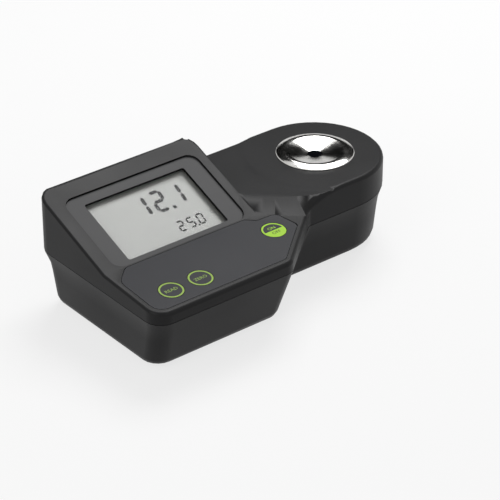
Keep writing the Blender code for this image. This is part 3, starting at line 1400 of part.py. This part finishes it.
def main():
    clear_scene()
    finishes = make_finishes()
    base = bpy.data.objects.new("case_corner", None)
    bpy.context.scene.collection.objects.link(base)
    base.location = (-CASE_LENGTH / 2, -CASE_WIDTH / 2, FOOT_DROP)
    make_upper_case(finishes["case"], base)
    make_lower_case(finishes["case"], base)
    make_case_gasket(finishes["rubber"], base)
    make_display(finishes, base)
    make_keypad(finishes, base)
    for name, place in KEY_PLACES.items():
        make_key(name, place, finishes, base)
    make_well(finishes, base)
    make_optics(finishes, base)
    make_battery(finishes, base)
    make_cables(finishes, base)
    make_cover(finishes, base)
    make_feet(finishes["rubber"], base)
    make_case_screws(finishes["steel"], base)


main()
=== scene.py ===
"""Looks of a bench refractometer: moulded case, printed key pad, grey display and a steel sample dish."""

import json
import math

import bmesh
import bpy
from mathutils import Matrix, Vector


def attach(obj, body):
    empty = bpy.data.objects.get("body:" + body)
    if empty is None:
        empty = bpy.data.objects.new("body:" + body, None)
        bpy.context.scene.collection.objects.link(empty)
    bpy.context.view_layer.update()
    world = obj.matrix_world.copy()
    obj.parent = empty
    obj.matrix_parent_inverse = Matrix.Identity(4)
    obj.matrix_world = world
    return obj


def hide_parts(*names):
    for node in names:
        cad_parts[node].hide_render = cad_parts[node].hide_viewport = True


# The case's corner in the row frame, and the two planes that carry print.
CORNER = Vector((-0.096, -0.0515, 0.0015))
BEND = Vector((0.0, 0.044, 0.0413))
DISPLAY_TILT = math.radians(21.2)
KEYPAD_TILT = math.radians(4.0)
PRINT_LIFT = 0.00002
LCD_DEPTH = 0.0040
# The display's view outline on the deck, and how upright a face must be, pick out the bezel's opening
# walls that get painted shade.
VIEW_LOW = Vector((0.0160, 0.0020))
VIEW_HIGH = Vector((0.0840, 0.0460))
UPRIGHT_LIMIT = 0.5

# Printed keys: each key's place in the case's corner frame, and the sizes of its ring and legend.
KEYS = {
    "read": (0.0198, 0.0149),
    "zero": (0.0379, 0.0149),
    "power": (0.0947, 0.0272),
}
KEY_RING_OUTER = 0.00640
KEY_RING_INNER = 0.00545
LEGEND_HEIGHT = 0.0021
ON_RISE = 0.0020
OFF_DROP = 0.0022
RING_STEPS = 96

# Lettering made from a font: steps of its curves, and the merge distance in the font's own units.
WORD_STEPS = 3
WORD_MERGE = 0.0001

# Display digits: height, cell width, bar width, pitch and lean.
DIGIT_HEIGHT = 0.0146
DIGIT_WIDTH = 0.0081
DIGIT_BAR = 0.0021
DIGIT_PITCH = 0.0110
DIGIT_LEAN = math.radians(5.0)
SMALL_DIGIT_HEIGHT = 0.0072
SMALL_DIGIT_WIDTH = 0.0043
SMALL_DIGIT_BAR = 0.00105
SMALL_DIGIT_PITCH = 0.00615
BAR_GAP_SHARE = 0.08
DOT_RISE_SHARE = 0.3
DOT_HALF_SHARE = 0.48
SEGMENTS = {
    "0": "abcdef",
    "1": "bc",
    "2": "abged",
    "5": "afgcd",
}

# Places on the display, along it and up its slope from the bend: the middle of each last digit or mark.
READING_PLACE = (0.0689, 0.0317)
TEMPERATURE_PLACE = (0.07105, 0.0126)
CELSIUS_PLACE = (0.0788, 0.0143)
PERCENT_PLACE = (0.0776, 0.0397)
MARK_HEIGHT = 0.0030

# Dish centre in the row frame.
DISH_CENTRE = Vector((0.0596, 0.0151, 0.0))

# Smooth shells: merge distance, the angle under which faces count as one, and where shading breaks.
SHELL_MERGE = 0.000002
FLAT_ANGLE = math.radians(0.5)
CASE_SHARP_ANGLE = math.radians(32.0)
DISH_SHARP_ANGLE = math.radians(50.0)

# Moulded finishes: name, dark and light shade, grain size, roughness range, grain depth and sheen.
PLASTICS = {
    "case": ("case_plastic", (16, 16, 17), (20, 20, 21), 0.00030, (0.42, 0.48), 0.000016, 0.20),
    "bezel": ("bezel_plastic", (58, 58, 59), (63, 63, 64), 0.00022, (0.48, 0.54), 0.000010, 0.24),
    "overlay": ("overlay_film", (29, 30, 35), (33, 34, 39), 0.00016, (0.42, 0.48), 0.000006, 0.20),
    "inner": ("inner_plastic", (26, 26, 28), (33, 33, 35), 0.00030, (0.45, 0.55), 0.000010, 0.5),
    "white": ("white_plastic", (220, 220, 214), (228, 228, 223), 0.00030, (0.35, 0.45), 0.000006, 0.5),
    "battery": ("battery_sleeve", (70, 74, 80), (80, 84, 90), 0.00050, (0.28, 0.36), 0.000004, 0.5),
    "rubber": ("black_rubber", (22, 22, 22), (30, 30, 30), 0.00025, (0.75, 0.88), 0.000020, 0.5),
}
PLASTIC_IOR = 1.5
HANDLING_SIZE = 0.035

# Printed finishes, and one painted shade, near black, for the walls of the bezel's opening that fall in
# shade inside the recess: name, dark and light shade, and roughness.
INKS = {
    # Painted shade, not print: near black on the bezel's opening walls, standing in for the shade inside
    # that recess.
    "opening_shade": ("opening_painted_shade", (9, 9, 10), (14, 14, 15), 0.60),
    "segment": ("display_segment", (14, 15, 17), (20, 21, 23), 0.35),
    "faint": ("display_faint", (124, 126, 122), (134, 136, 132), 0.35),
    "ring": ("ring_ink", (140, 172, 72), (160, 190, 86), 0.40),
    "fill": ("fill_ink", (160, 208, 52), (172, 220, 64), 0.40),
    "dark_ink": ("dark_ink", (24, 28, 24), (32, 36, 30), 0.40),
}
INK_MOTTLE_SIZE = 0.0005
INK_SHEEN = 0.15

# Screws and the dish: shades, roughness ranges, pattern sizes and relief depths.
SCREW_SHADES = ((168, 168, 170), (196, 196, 198))
SCREW_ROUGHNESS = (0.25, 0.40)
SCREW_STAIN_SIZE = 0.006
SCREW_SCRATCH_SIZE = 0.00025
SCREW_RELIEF = 0.000004
DISH_SHADES = ((205, 203, 200), (232, 231, 228))
DISH_ROUGHNESS = (0.10, 0.17)
DISH_STAIN_SIZE = 0.008
DISH_RING_SCALE = 900.0
DISH_RING_DISTORTION = 0.6
DISH_RELIEF = 0.000002

# Glass pieces: prism, pane and display ground.
PRISM_SHADES = ((8, 9, 12), (13, 14, 18))
PRISM_TINT_SIZE = 0.004
PRISM_ROUGHNESS = 0.12
PRISM_SHEEN = 0.15
PANE_SHADE = (12, 12, 13)
PANE_SMEAR_SIZE = 0.02
PANE_ROUGHNESS = (0.03, 0.07)
PANE_ALPHA = 0.04
DISPLAY_SHADES = ((156, 158, 154), (166, 168, 164))
DISPLAY_TINT_SIZE = 0.03
DISPLAY_CELL_SIZE = 0.0004
DISPLAY_ROUGHNESS = (0.30, 0.38)
DISPLAY_RELIEF = 0.000003

# Circuit boards: two shades of solder mask, the tracks, and their relief.
BOARD_SHADES = ((14, 84, 44), (18, 94, 50))
TRACK_SHADE = (40, 128, 74)
TRACK_SCALE = 260.0
TRACK_WIDTH_SHARE = 0.06
TRACK_RELIEF = 0.00003
BOARD_ROUGHNESS = 0.35

# Noise: how many octaves each kind has, and the part of its range that is spread over a pair of values.
SLOW_DETAIL = 3.0
SOFT_DETAIL = 2.0
FINE_DETAIL = 1.0
NOISE_LOW = 0.3
NOISE_HIGH = 0.7

# Floor, world and the dark card behind the object.
FLOOR_SHADE = (238, 238, 238)
FLOOR_ROUGHNESS = 0.9
FLOOR_SHEEN = 0.1
FLOOR_WHITE_SHARE = 0.75
FLOOR_HALF = 3.0
FLOOR_DROP = 0.0001
WHITE_STRENGTH = 1.0
SOFT_STRENGTH = 0.35
CARD_SHADE = (20, 20, 20)
CARD_ROUGHNESS = 0.95
CARD_SHEEN = 0.05
CARD_HALF_WIDTH = 0.85
CARD_HALF_HEIGHT = 0.55
CARD_TOWARDS = Vector((0.543, 0.673, 0.502))
CARD_DISTANCE = 1.7

# Lamps: place, size and watts, all turned to one target.
LAMPS = {
    "overhead": ((0.45, 0.32, 0.90), (0.6, 0.6), 8.0),
    "left": ((-0.9, -0.2, 0.6), (0.6, 0.6), 2.2),
    "front": ((0.1, -1.1, 0.7), (0.8, 0.5), 0.8),
}
LAMP_TARGET = Vector((0.0, 0.0, 0.03))

# Camera that was fitted to the photograph.
CAMERA_AZIMUTH = math.radians(-38.92)
CAMERA_ELEVATION = math.radians(30.13)
CAMERA_DISTANCE = 1.19291
CAMERA_TARGET = Vector((0.0, -0.0005, 0.0315))
CAMERA_LENS = 165.83
CAMERA_SENSOR = 36.0
CAMERA_SHIFT = (0.0073, -0.0436)


def linear(shade):
    """A colour given as it looks on a screen, three values of 0 to 255, as a shader's own colour."""
    shares = []
    for value in shade:
        share = value / 255
        shares.append(share / 12.92 if share <= 0.04045 else ((share + 0.055) / 1.055) ** 2.4)
    return (*shares, 1.0)


def new_material(name):
    """A node material with its tree and main shader."""
    made = bpy.data.materials.new(name)
    made.use_nodes = True
    tree = made.node_tree
    return made, tree, tree.nodes["Principled BSDF"]


def object_noise(tree, size, detail):
    """Noise on object coordinates whose features are about size metres across."""
    place = tree.nodes.new("ShaderNodeTexCoord")
    noise = tree.nodes.new("ShaderNodeTexNoise")
    noise.inputs["Scale"].default_value = 1 / size
    noise.inputs["Detail"].default_value = detail
    tree.links.new(place.outputs["Object"], noise.inputs["Vector"])
    return noise.outputs["Fac"]


def ramp(tree, source, low, high):
    """Turns a noise source into values between low and high."""
    spread = tree.nodes.new("ShaderNodeMapRange")
    spread.inputs["From Min"].default_value = NOISE_LOW
    spread.inputs["From Max"].default_value = NOISE_HIGH
    spread.inputs["To Min"].default_value = low
    spread.inputs["To Max"].default_value = high
    tree.links.new(source, spread.inputs["Value"])
    return spread.outputs["Result"]


def tint(tree, source, dark, light):
    """Blends two screen colours by a noise source."""
    blend = tree.nodes.new("ShaderNodeValToRGB")
    blend.color_ramp.elements[0].position = NOISE_LOW
    blend.color_ramp.elements[0].color = linear(dark)
    blend.color_ramp.elements[1].position = NOISE_HIGH
    blend.color_ramp.elements[1].color = linear(light)
    tree.links.new(source, blend.inputs["Fac"])
    return blend.outputs["Color"]


def relief(tree, shader, source, distance, strength=1.0):
    """Bump on a shader from a height source."""
    bump = tree.nodes.new("ShaderNodeBump")
    bump.inputs["Distance"].default_value = distance
    bump.inputs["Strength"].default_value = strength
    tree.links.new(source, bump.inputs["Height"])
    tree.links.new(bump.outputs["Normal"], shader.inputs["Normal"])


def moulded_plastic(name, dark, light, grain, roughness, depth, sheen):
    """Moulded plastic: a fine spark-eroded grain, and a slow change of shade and gloss from handling."""
    made, tree, shader = new_material(name)
    slow = object_noise(tree, HANDLING_SIZE, SLOW_DETAIL)
    fine = object_noise(tree, grain, FINE_DETAIL)
    tree.links.new(tint(tree, slow, dark, light), shader.inputs["Base Color"])
    tree.links.new(ramp(tree, slow, *roughness), shader.inputs["Roughness"])
    relief(tree, shader, fine, depth)
    shader.inputs["IOR"].default_value = PLASTIC_IOR
    shader.inputs["Specular IOR Level"].default_value = sheen
    return made


def screw_steel():
    """Plated screws with a slow stain and a fine scratch relief."""
    made, tree, shader = new_material("screw_steel")
    slow = object_noise(tree, SCREW_STAIN_SIZE, SLOW_DETAIL)
    fine = object_noise(tree, SCREW_SCRATCH_SIZE, SOFT_DETAIL)
    tree.links.new(tint(tree, slow, *SCREW_SHADES), shader.inputs["Base Color"])
    tree.links.new(ramp(tree, fine, *SCREW_ROUGHNESS), shader.inputs["Roughness"])
    relief(tree, shader, fine, SCREW_RELIEF)
    shader.inputs["Metallic"].default_value = 1.0
    return made


def dish_steel():
    """Polished stainless steel with the faint rings of turning round the dish's middle."""
    made, tree, shader = new_material("dish_steel")
    place = tree.nodes.new("ShaderNodeTexCoord")
    centre = tree.nodes.new("ShaderNodeMapping")
    centre.inputs["Location"].default_value = -DISH_CENTRE
    tree.links.new(place.outputs["Object"], centre.inputs["Vector"])
    rings = tree.nodes.new("ShaderNodeTexWave")
    rings.wave_type = "RINGS"
    rings.rings_direction = "Z"
    rings.inputs["Scale"].default_value = DISH_RING_SCALE
    rings.inputs["Distortion"].default_value = DISH_RING_DISTORTION
    tree.links.new(centre.outputs["Vector"], rings.inputs["Vector"])
    slow = object_noise(tree, DISH_STAIN_SIZE, SLOW_DETAIL)
    tree.links.new(tint(tree, slow, *DISH_SHADES), shader.inputs["Base Color"])
    tree.links.new(ramp(tree, slow, *DISH_ROUGHNESS), shader.inputs["Roughness"])
    relief(tree, shader, rings.outputs["Fac"], DISH_RELIEF)
    shader.inputs["Metallic"].default_value = 1.0
    return made


def prism_glass():
    """The prism's face, which looks near black from above."""
    made, tree, shader = new_material("prism_glass")
    slow = object_noise(tree, PRISM_TINT_SIZE, SOFT_DETAIL)
    tree.links.new(tint(tree, slow, *PRISM_SHADES), shader.inputs["Base Color"])
    shader.inputs["Roughness"].default_value = PRISM_ROUGHNESS
    shader.inputs["Specular IOR Level"].default_value = PRISM_SHEEN
    return made


def clear_pane():
    """The pane over the display, nearly all clear, with a slow smear in its gloss."""
    made, tree, shader = new_material("clear_pane")
    slow = object_noise(tree, PANE_SMEAR_SIZE, SOFT_DETAIL)
    tree.links.new(ramp(tree, slow, *PANE_ROUGHNESS), shader.inputs["Roughness"])
    shader.inputs["Base Color"].default_value = linear(PANE_SHADE)
    shader.inputs["Alpha"].default_value = PANE_ALPHA
    return made


def display_glass():
    """The grey ground of the display, with the faint cell structure of its polariser."""
    made, tree, shader = new_material("display_glass")
    slow = object_noise(tree, DISPLAY_TINT_SIZE, SOFT_DETAIL)
    fine = object_noise(tree, DISPLAY_CELL_SIZE, FINE_DETAIL)
    tree.links.new(tint(tree, slow, *DISPLAY_SHADES), shader.inputs["Base Color"])
    tree.links.new(ramp(tree, slow, *DISPLAY_ROUGHNESS), shader.inputs["Roughness"])
    relief(tree, shader, fine, DISPLAY_RELIEF)
    return made


def printed_ink(name, dark, light, roughness):
    """Screen-printed ink with the slight mottle of its mesh; the same recipe also gives the painted shade
    on the bezel's opening walls.
    """
    made, tree, shader = new_material(name)
    fine = object_noise(tree, INK_MOTTLE_SIZE, SOFT_DETAIL)
    tree.links.new(tint(tree, fine, dark, light), shader.inputs["Base Color"])
    shader.inputs["Roughness"].default_value = roughness
    shader.inputs["Specular IOR Level"].default_value = INK_SHEEN
    return made


def circuit_board():
    """Green solder mask with the paler tracks that run under it."""
    made, tree, shader = new_material("circuit_board")
    place = tree.nodes.new("ShaderNodeTexCoord")
    tracks = tree.nodes.new("ShaderNodeTexBrick")
    tracks.inputs["Scale"].default_value = TRACK_SCALE
    tracks.inputs["Mortar Size"].default_value = TRACK_WIDTH_SHARE
    tracks.inputs["Color1"].default_value = linear(BOARD_SHADES[0])
    tracks.inputs["Color2"].default_value = linear(BOARD_SHADES[1])
    tracks.inputs["Mortar"].default_value = linear(TRACK_SHADE)
    tree.links.new(place.outputs["Object"], tracks.inputs["Vector"])
    tree.links.new(tracks.outputs["Color"], shader.inputs["Base Color"])
    relief(tree, shader, tracks.outputs["Fac"], TRACK_RELIEF, -1.0)
    shader.inputs["Roughness"].default_value = BOARD_ROUGHNESS
    return made


def make_materials():
    """Every finish, by a short name."""
    made = {
        "steel": screw_steel(),
        "board": circuit_board(),
        "dish": dish_steel(),
        "prism": prism_glass(),
        "clear": clear_pane(),
        "lcd": display_glass(),
    }
    for key, look in PLASTICS.items():
        made[key] = moulded_plastic(*look)
    for key, look in INKS.items():
        made[key] = printed_ink(*look)
    return made


def body_of(node):
    """The CAD body that a node belongs to."""
    for body, members in frame["record"]["behaviour"]["bodies"].items():
        if node in members:
            return body
    return None


def mesh_object(name, mesh, finish, place=None):
    """An object in the scene from a bmesh, with its place in its mesh and one finish."""
    data = bpy.data.meshes.new(name)
    mesh.to_mesh(data)
    mesh.free()
    if place is not None:
        data.transform(place)
    data.materials.append(finish)
    made = bpy.data.objects.new(name, data)
    bpy.context.scene.collection.objects.link(made)
    return made


def smooth_shell(node, finish, angle):
    """A merged copy of a CAD node, shaded smooth across its curves, which stands for the node."""
    mesh = bmesh.new()
    mesh.from_mesh(frame["nodes"][node].data)
    bmesh.ops.remove_doubles(mesh, verts=mesh.verts, dist=SHELL_MERGE)
    bmesh.ops.dissolve_limit(mesh, angle_limit=FLAT_ANGLE, verts=mesh.verts, edges=mesh.edges)
    for face in mesh.faces:
        face.smooth = True
    made = mesh_object(node + "_shell", mesh, finish)
    made.data.set_sharp_from_angle(angle=angle)
    weighted = made.modifiers.new("weighted", "WEIGHTED_NORMAL")
    weighted.keep_sharp = True
    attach(made, body_of(node))
    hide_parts(node)
    return made


def deck_place(tilt, x, v, depth):
    """Placing matrix of a point on the display deck or key pad: x along, v up the slope from the bend."""
    base = Matrix.Translation(CORNER + BEND) @ Matrix.Rotation(tilt, 4, "X")
    return base @ Matrix.Translation((x, v, -depth))


def display_place(x, v):
    """Placing matrix of a point on the display under its pane."""
    return deck_place(DISPLAY_TILT, x, v, LCD_DEPTH)


def keypad_place(x, y):
    """Placing matrix of a point on the key pad, from its place in the case's corner frame."""
    return deck_place(KEYPAD_TILT, x, (y - BEND.y) / math.cos(KEYPAD_TILT), 0.0)


def flat_piece(name, mesh, finish, body, place):
    """A flat print from a bmesh, facing up and just clear of the surface under it, riding on a body."""
    bmesh.ops.recalc_face_normals(mesh, faces=mesh.faces)
    for face in mesh.faces:
        if face.normal.z < 0.0:
            face.normal_flip()
    made = mesh_object(name, mesh, finish, place @ Matrix.Translation((0.0, 0.0, PRINT_LIFT)))
    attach(made, body)
    return made


def ring_mesh(inner, outer, first=0.0, last=math.tau):
    """A flat ring or part of one; an inner radius of zero gives a filled sector."""
    mesh = bmesh.new()
    closed = last - first >= math.tau
    outside = []
    inside = []
    for step in range(RING_STEPS if closed else RING_STEPS + 1):
        angle = first + (last - first) * step / RING_STEPS
        direction = Vector((math.cos(angle), math.sin(angle), 0.0))
        outside.append(mesh.verts.new(direction * outer))
        if inner:
            inside.append(mesh.verts.new(direction * inner))
    if not inner:
        mesh.faces.new(outside)
        return mesh
    count = len(outside)
    for index in range(count if closed else count - 1):
        following = (index + 1) % count
        mesh.faces.new((outside[index], outside[following], inside[following], inside[index]))
    return mesh


def word_mesh(text, height):
    """A word as flat faces, centred, its capitals height tall."""
    curve = bpy.data.curves.new("word", "FONT")
    curve.body = text
    curve.align_x = "CENTER"
    curve.resolution_u = WORD_STEPS
    carrier = bpy.data.objects.new("word", curve)
    bpy.context.scene.collection.objects.link(carrier)
    bpy.context.view_layer.update()
    shown = bpy.data.meshes.new_from_object(carrier.evaluated_get(bpy.context.evaluated_depsgraph_get()))
    mesh = bmesh.new()
    mesh.from_mesh(shown)
    bpy.data.objects.remove(carrier)
    bpy.data.meshes.remove(shown)
    bmesh.ops.remove_doubles(mesh, verts=mesh.verts, dist=WORD_MERGE)
    xs = [vert.co.x for vert in mesh.verts]
    ys = [vert.co.y for vert in mesh.verts]
    size = height / (max(ys) - min(ys))
    centre = Vector(((max(xs) + min(xs)) / 2, (max(ys) + min(ys)) / 2, 0.0))
    for vert in mesh.verts:
        moved = (vert.co - centre) * size
        vert.co = (moved.x, moved.y, 0.0)
    return mesh


def segment_points(letter, width, height, bar):
    """The six corners of one bar of a display digit, centred on the digit."""
    across = width / 2 - bar / 2
    up = height / 2 - bar / 2
    ends = {
        "a": ((-across, up), (across, up)),
        "b": ((across, up), (across, 0.0)),
        "c": ((across, 0.0), (across, -up)),
        "d": ((-across, -up), (across, -up)),
        "e": ((-across, 0.0), (-across, -up)),
        "f": ((-across, up), (-across, 0.0)),
        "g": ((-across, 0.0), (across, 0.0)),
    }[letter]
    start, end = Vector(ends[0]), Vector(ends[1])
    along = (end - start).normalized()
    side = Vector((-along.y, along.x)) * bar / 2
    start += along * bar * BAR_GAP_SHARE
    end -= along * bar * BAR_GAP_SHARE
    point = along * bar / 2
    return [start, start + point + side, end - point + side, end, end - point - side, start + point - side]


def digits_mesh(text, width, height, bar, pitch):
    """A row of display digits, right aligned at the origin; a point follows the digit before it."""
    mesh = bmesh.new()
    lean = math.tan(DIGIT_LEAN)
    cells = []
    for letter in text:
        if letter == ".":
            cells[-1] += "."
        else:
            cells.append(letter)
    for index, cell in enumerate(cells):
        middle = -pitch * (len(cells) - 1 - index)
        for name in SEGMENTS[cell[0]]:
            corners = segment_points(name, width, height, bar)
            mesh.faces.new([mesh.verts.new((middle + p.x + p.y * lean, p.y, 0.0)) for p in corners])
        if cell.endswith("."):
            dot = Vector((middle + pitch / 2, -height / 2 + bar * DOT_RISE_SHARE))
            half = bar * DOT_HALF_SHARE
            corners = [(-half, -half), (half, -half), (half, half), (-half, half)]
            mesh.faces.new([mesh.verts.new((dot.x + x, dot.y + y, 0.0)) for x, y in corners])
    return mesh


def make_display_print(finishes):
    """The readings on the display: the main value, the temperature and two faint unit marks."""
    large = digits_mesh("12.1", DIGIT_WIDTH, DIGIT_HEIGHT, DIGIT_BAR, DIGIT_PITCH)
    small = digits_mesh("25.0", SMALL_DIGIT_WIDTH, SMALL_DIGIT_HEIGHT, SMALL_DIGIT_BAR, SMALL_DIGIT_PITCH)
    prints = (
        ("reading_digits", large, "segment", READING_PLACE),
        ("temperature_digits", small, "segment", TEMPERATURE_PLACE),
        ("celsius_mark", word_mesh("°C", MARK_HEIGHT), "faint", CELSIUS_PLACE),
        ("percent_mark", word_mesh("%", MARK_HEIGHT), "faint", PERCENT_PLACE),
    )
    for name, mesh, finish, spot in prints:
        flat_piece(name, mesh, finishes[finish], "case", display_place(*spot))


def make_key_print(finishes):
    """The printed rings and words on the three keys."""
    ring, fill = finishes["ring"], finishes["fill"]
    for name, word in (("read", "READ"), ("zero", "ZERO")):
        place = keypad_place(*KEYS[name])
        body = name + "_button"
        flat_piece(name + "_ring", ring_mesh(KEY_RING_INNER, KEY_RING_OUTER), ring, body, place)
        flat_piece(name + "_word", word_mesh(word, LEGEND_HEIGHT), ring, body, place)
    place = keypad_place(*KEYS["power"])
    body = "power_button"
    flat_piece("power_ring", ring_mesh(KEY_RING_INNER, KEY_RING_OUTER, 0.0, math.pi), fill, body, place)
    flat_piece("power_half", ring_mesh(0.0, KEY_RING_OUTER, math.pi, math.tau), fill, body, place)
    shift = Matrix.Translation((0.0, ON_RISE, 0.0))
    flat_piece("on_word", word_mesh("ON", LEGEND_HEIGHT), fill, body, place @ shift)
    shift = Matrix.Translation((0.0, -OFF_DROP, PRINT_LIFT))
    flat_piece("off_word", word_mesh("OFF", LEGEND_HEIGHT), finishes["dark_ink"], body, place @ shift)


def paint_opening(shell, finish):
    """Paints shade on the walls of the bezel's opening: a near-black finish on upright faces well inside
    its edge, standing in for the shade inside the recess.
    """
    normal = Vector((0.0, -math.sin(DISPLAY_TILT), math.cos(DISPLAY_TILT)))
    shell.data.materials.append(finish)
    place = deck_place(DISPLAY_TILT, 0.0, 0.0, 0.0).inverted()
    for face in shell.data.polygons:
        spot = place @ face.center
        inside = VIEW_LOW.x < spot.x < VIEW_HIGH.x and VIEW_LOW.y < spot.y < VIEW_HIGH.y
        if inside and abs(face.normal.dot(normal)) < UPRIGHT_LIMIT:
            face.material_index = 1


def make_shells(finishes):
    """Smooth shells for the nodes whose curves show."""
    for node in ("upper_case", "lower_case", "battery_cover"):
        smooth_shell(node, finishes["case"], CASE_SHARP_ANGLE)
    smooth_shell("sample_dish", finishes["dish"], DISH_SHARP_ANGLE)
    bezel = smooth_shell("display_bezel", finishes["bezel"], CASE_SHARP_ANGLE)
    # The bezel's opening walls get painted shade, near black, for the shade inside the recess.
    paint_opening(bezel, finishes["opening_shade"])
    smooth_shell("keypad_overlay", finishes["overlay"], CASE_SHARP_ANGLE)
    for key in KEYS:
        smooth_shell(key + "_key", finishes["overlay"], CASE_SHARP_ANGLE)
    for foot in ("front_left", "rear_left", "head_front", "head_rear"):
        smooth_shell("foot_" + foot, finishes["rubber"], CASE_SHARP_ANGLE)


def dress_nodes(finishes):
    """Gives every CAD node its node material, by the material slot that the record names."""
    by_slot = {
        "case_plastic": "case",
        "bezel_plastic": "bezel",
        "overlay_film": "overlay",
        "inner_plastic": "inner",
        "white_plastic": "white",
        "circuit_board": "board",
        "black_rubber": "rubber",
        "screw_steel": "steel",
        "polished_steel": "dish",
        "clear_pane": "clear",
        "prism_glass": "prism",
        "display_glass": "lcd",
        "battery_can": "battery",
    }
    for part in frame["record"]["subparts"]:
        node = frame["nodes"][part["node"]]
        finish = finishes[by_slot[part["material_slot"]]]
        if not node.material_slots:
            node.data.materials.append(finish)
        for holder in node.material_slots:
            holder.material = finish


def seen_directly(tree):
    """A socket that is one for camera, transmission and glossy rays, and zero for all others."""
    rays = tree.nodes.new("ShaderNodeLightPath")
    shown = rays.outputs["Is Camera Ray"]
    for kind in ("Is Transmission Ray", "Is Glossy Ray"):
        either = tree.nodes.new("ShaderNodeMath")
        either.operation = "MAXIMUM"
        tree.links.new(shown, either.inputs[0])
        tree.links.new(rays.outputs[kind], either.inputs[1])
        shown = either.outputs[0]
    return shown


def mix_shaders(tree, share, first, second, out):
    """Joins two shaders by a share and wires them to the output node."""
    mix = tree.nodes.new("ShaderNodeMixShader")
    tree.links.new(share, mix.inputs["Fac"])
    tree.links.new(first, mix.inputs[1])
    tree.links.new(second, mix.inputs[2])
    tree.links.new(mix.outputs["Shader"], out.inputs["Surface"])


def sheet_mesh(half_x, half_y):
    """A flat rectangle centred on the origin."""
    mesh = bmesh.new()
    corners = [(-half_x, -half_y), (half_x, -half_y), (half_x, half_y), (-half_x, half_y)]
    mesh.faces.new([mesh.verts.new((x, y, 0.0)) for x, y in corners])
    return mesh


def make_stage():
    """A plain pale floor with a white look to the camera, which keeps the object's shadow."""
    made, tree, shader = new_material("pale_floor")
    shader.inputs["Base Color"].default_value = linear(FLOOR_SHADE)
    shader.inputs["Roughness"].default_value = FLOOR_ROUGHNESS
    shader.inputs["Specular IOR Level"].default_value = FLOOR_SHEEN
    white = tree.nodes.new("ShaderNodeEmission")
    white.inputs["Strength"].default_value = WHITE_STRENGTH
    share = tree.nodes.new("ShaderNodeMath")
    share.operation = "MULTIPLY"
    share.inputs[1].default_value = FLOOR_WHITE_SHARE
    tree.links.new(seen_directly(tree), share.inputs[0])
    out = tree.nodes["Material Output"]
    mix_shaders(tree, share.outputs[0], shader.outputs[0], white.outputs["Emission"], out)
    place = Matrix.Translation((0.0, 0.0, -FLOOR_DROP))
    floor = mesh_object("floor", sheet_mesh(FLOOR_HALF, FLOOR_HALF), made, place)


def make_world():
    """White seen by the camera and in reflections, a plain soft light for everything else."""
    world = bpy.data.worlds.new("studio")
    world.use_nodes = True
    bpy.context.scene.world = world
    tree = world.node_tree
    tree.nodes.clear()
    white = tree.nodes.new("ShaderNodeBackground")
    white.inputs["Strength"].default_value = WHITE_STRENGTH
    soft = tree.nodes.new("ShaderNodeBackground")
    soft.inputs["Strength"].default_value = SOFT_STRENGTH
    out = tree.nodes.new("ShaderNodeOutputWorld")
    mix_shaders(tree, seen_directly(tree), soft.outputs["Background"], white.outputs["Background"], out)


def make_lights():
    """The area lamps, each turned to the target."""
    for name, (place, size, watts) in LAMPS.items():
        lamp = bpy.data.lights.new(name, "AREA")
        lamp.shape = "RECTANGLE"
        lamp.size, lamp.size_y = size
        lamp.energy = watts
        holder = bpy.data.objects.new(name, lamp)
        holder.location = place
        holder.rotation_euler = (Vector(place) - LAMP_TARGET).to_track_quat("Z", "Y").to_euler()
        bpy.context.scene.collection.objects.link(holder)


def make_flag():
    """A dark studio card behind the object, for the steel and the glossy tops to mirror."""
    made, tree, shader = new_material("dark_card")
    shader.inputs["Base Color"].default_value = linear(CARD_SHADE)
    shader.inputs["Roughness"].default_value = CARD_ROUGHNESS
    shader.inputs["Specular IOR Level"].default_value = CARD_SHEEN
    towards = CARD_TOWARDS.normalized()
    turn = towards.to_track_quat("Z", "Y").to_matrix().to_4x4()
    place = Matrix.Translation(towards * CARD_DISTANCE) @ turn
    card = mesh_object("dark_card", sheet_mesh(CARD_HALF_WIDTH, CARD_HALF_HEIGHT), made, place)
    card.visible_camera = False
    card.visible_diffuse = False


def make_camera():
    """The camera, with the plain view transform that shows colours as they are written."""
    back = Vector((
        math.sin(CAMERA_AZIMUTH) * math.cos(CAMERA_ELEVATION),
        -math.cos(CAMERA_AZIMUTH) * math.cos(CAMERA_ELEVATION),
        math.sin(CAMERA_ELEVATION),
    ))
    eye = bpy.data.cameras.new("camera")
    eye.lens = CAMERA_LENS
    eye.sensor_width = CAMERA_SENSOR
    eye.shift_x, eye.shift_y = CAMERA_SHIFT
    holder = bpy.data.objects.new("camera", eye)
    holder.location = CAMERA_TARGET + back * CAMERA_DISTANCE
    holder.rotation_euler = back.to_track_quat("Z", "Y").to_euler()
    bpy.context.scene.collection.objects.link(holder)
    bpy.context.scene.camera = holder
    bpy.context.scene.view_settings.view_transform = "Standard"


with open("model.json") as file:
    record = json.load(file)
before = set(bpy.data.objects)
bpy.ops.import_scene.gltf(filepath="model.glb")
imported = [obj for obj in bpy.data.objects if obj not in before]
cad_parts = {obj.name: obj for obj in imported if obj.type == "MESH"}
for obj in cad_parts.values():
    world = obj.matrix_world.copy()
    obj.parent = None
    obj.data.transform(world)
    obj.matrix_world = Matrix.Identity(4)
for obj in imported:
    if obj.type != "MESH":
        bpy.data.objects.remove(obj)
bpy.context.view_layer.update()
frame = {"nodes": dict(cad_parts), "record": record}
make_camera()
make_world()
make_lights()
make_stage()
make_flag()
materials = make_materials()
dress_nodes(materials)
make_shells(materials)
make_display_print(materials)
make_key_print(materials)
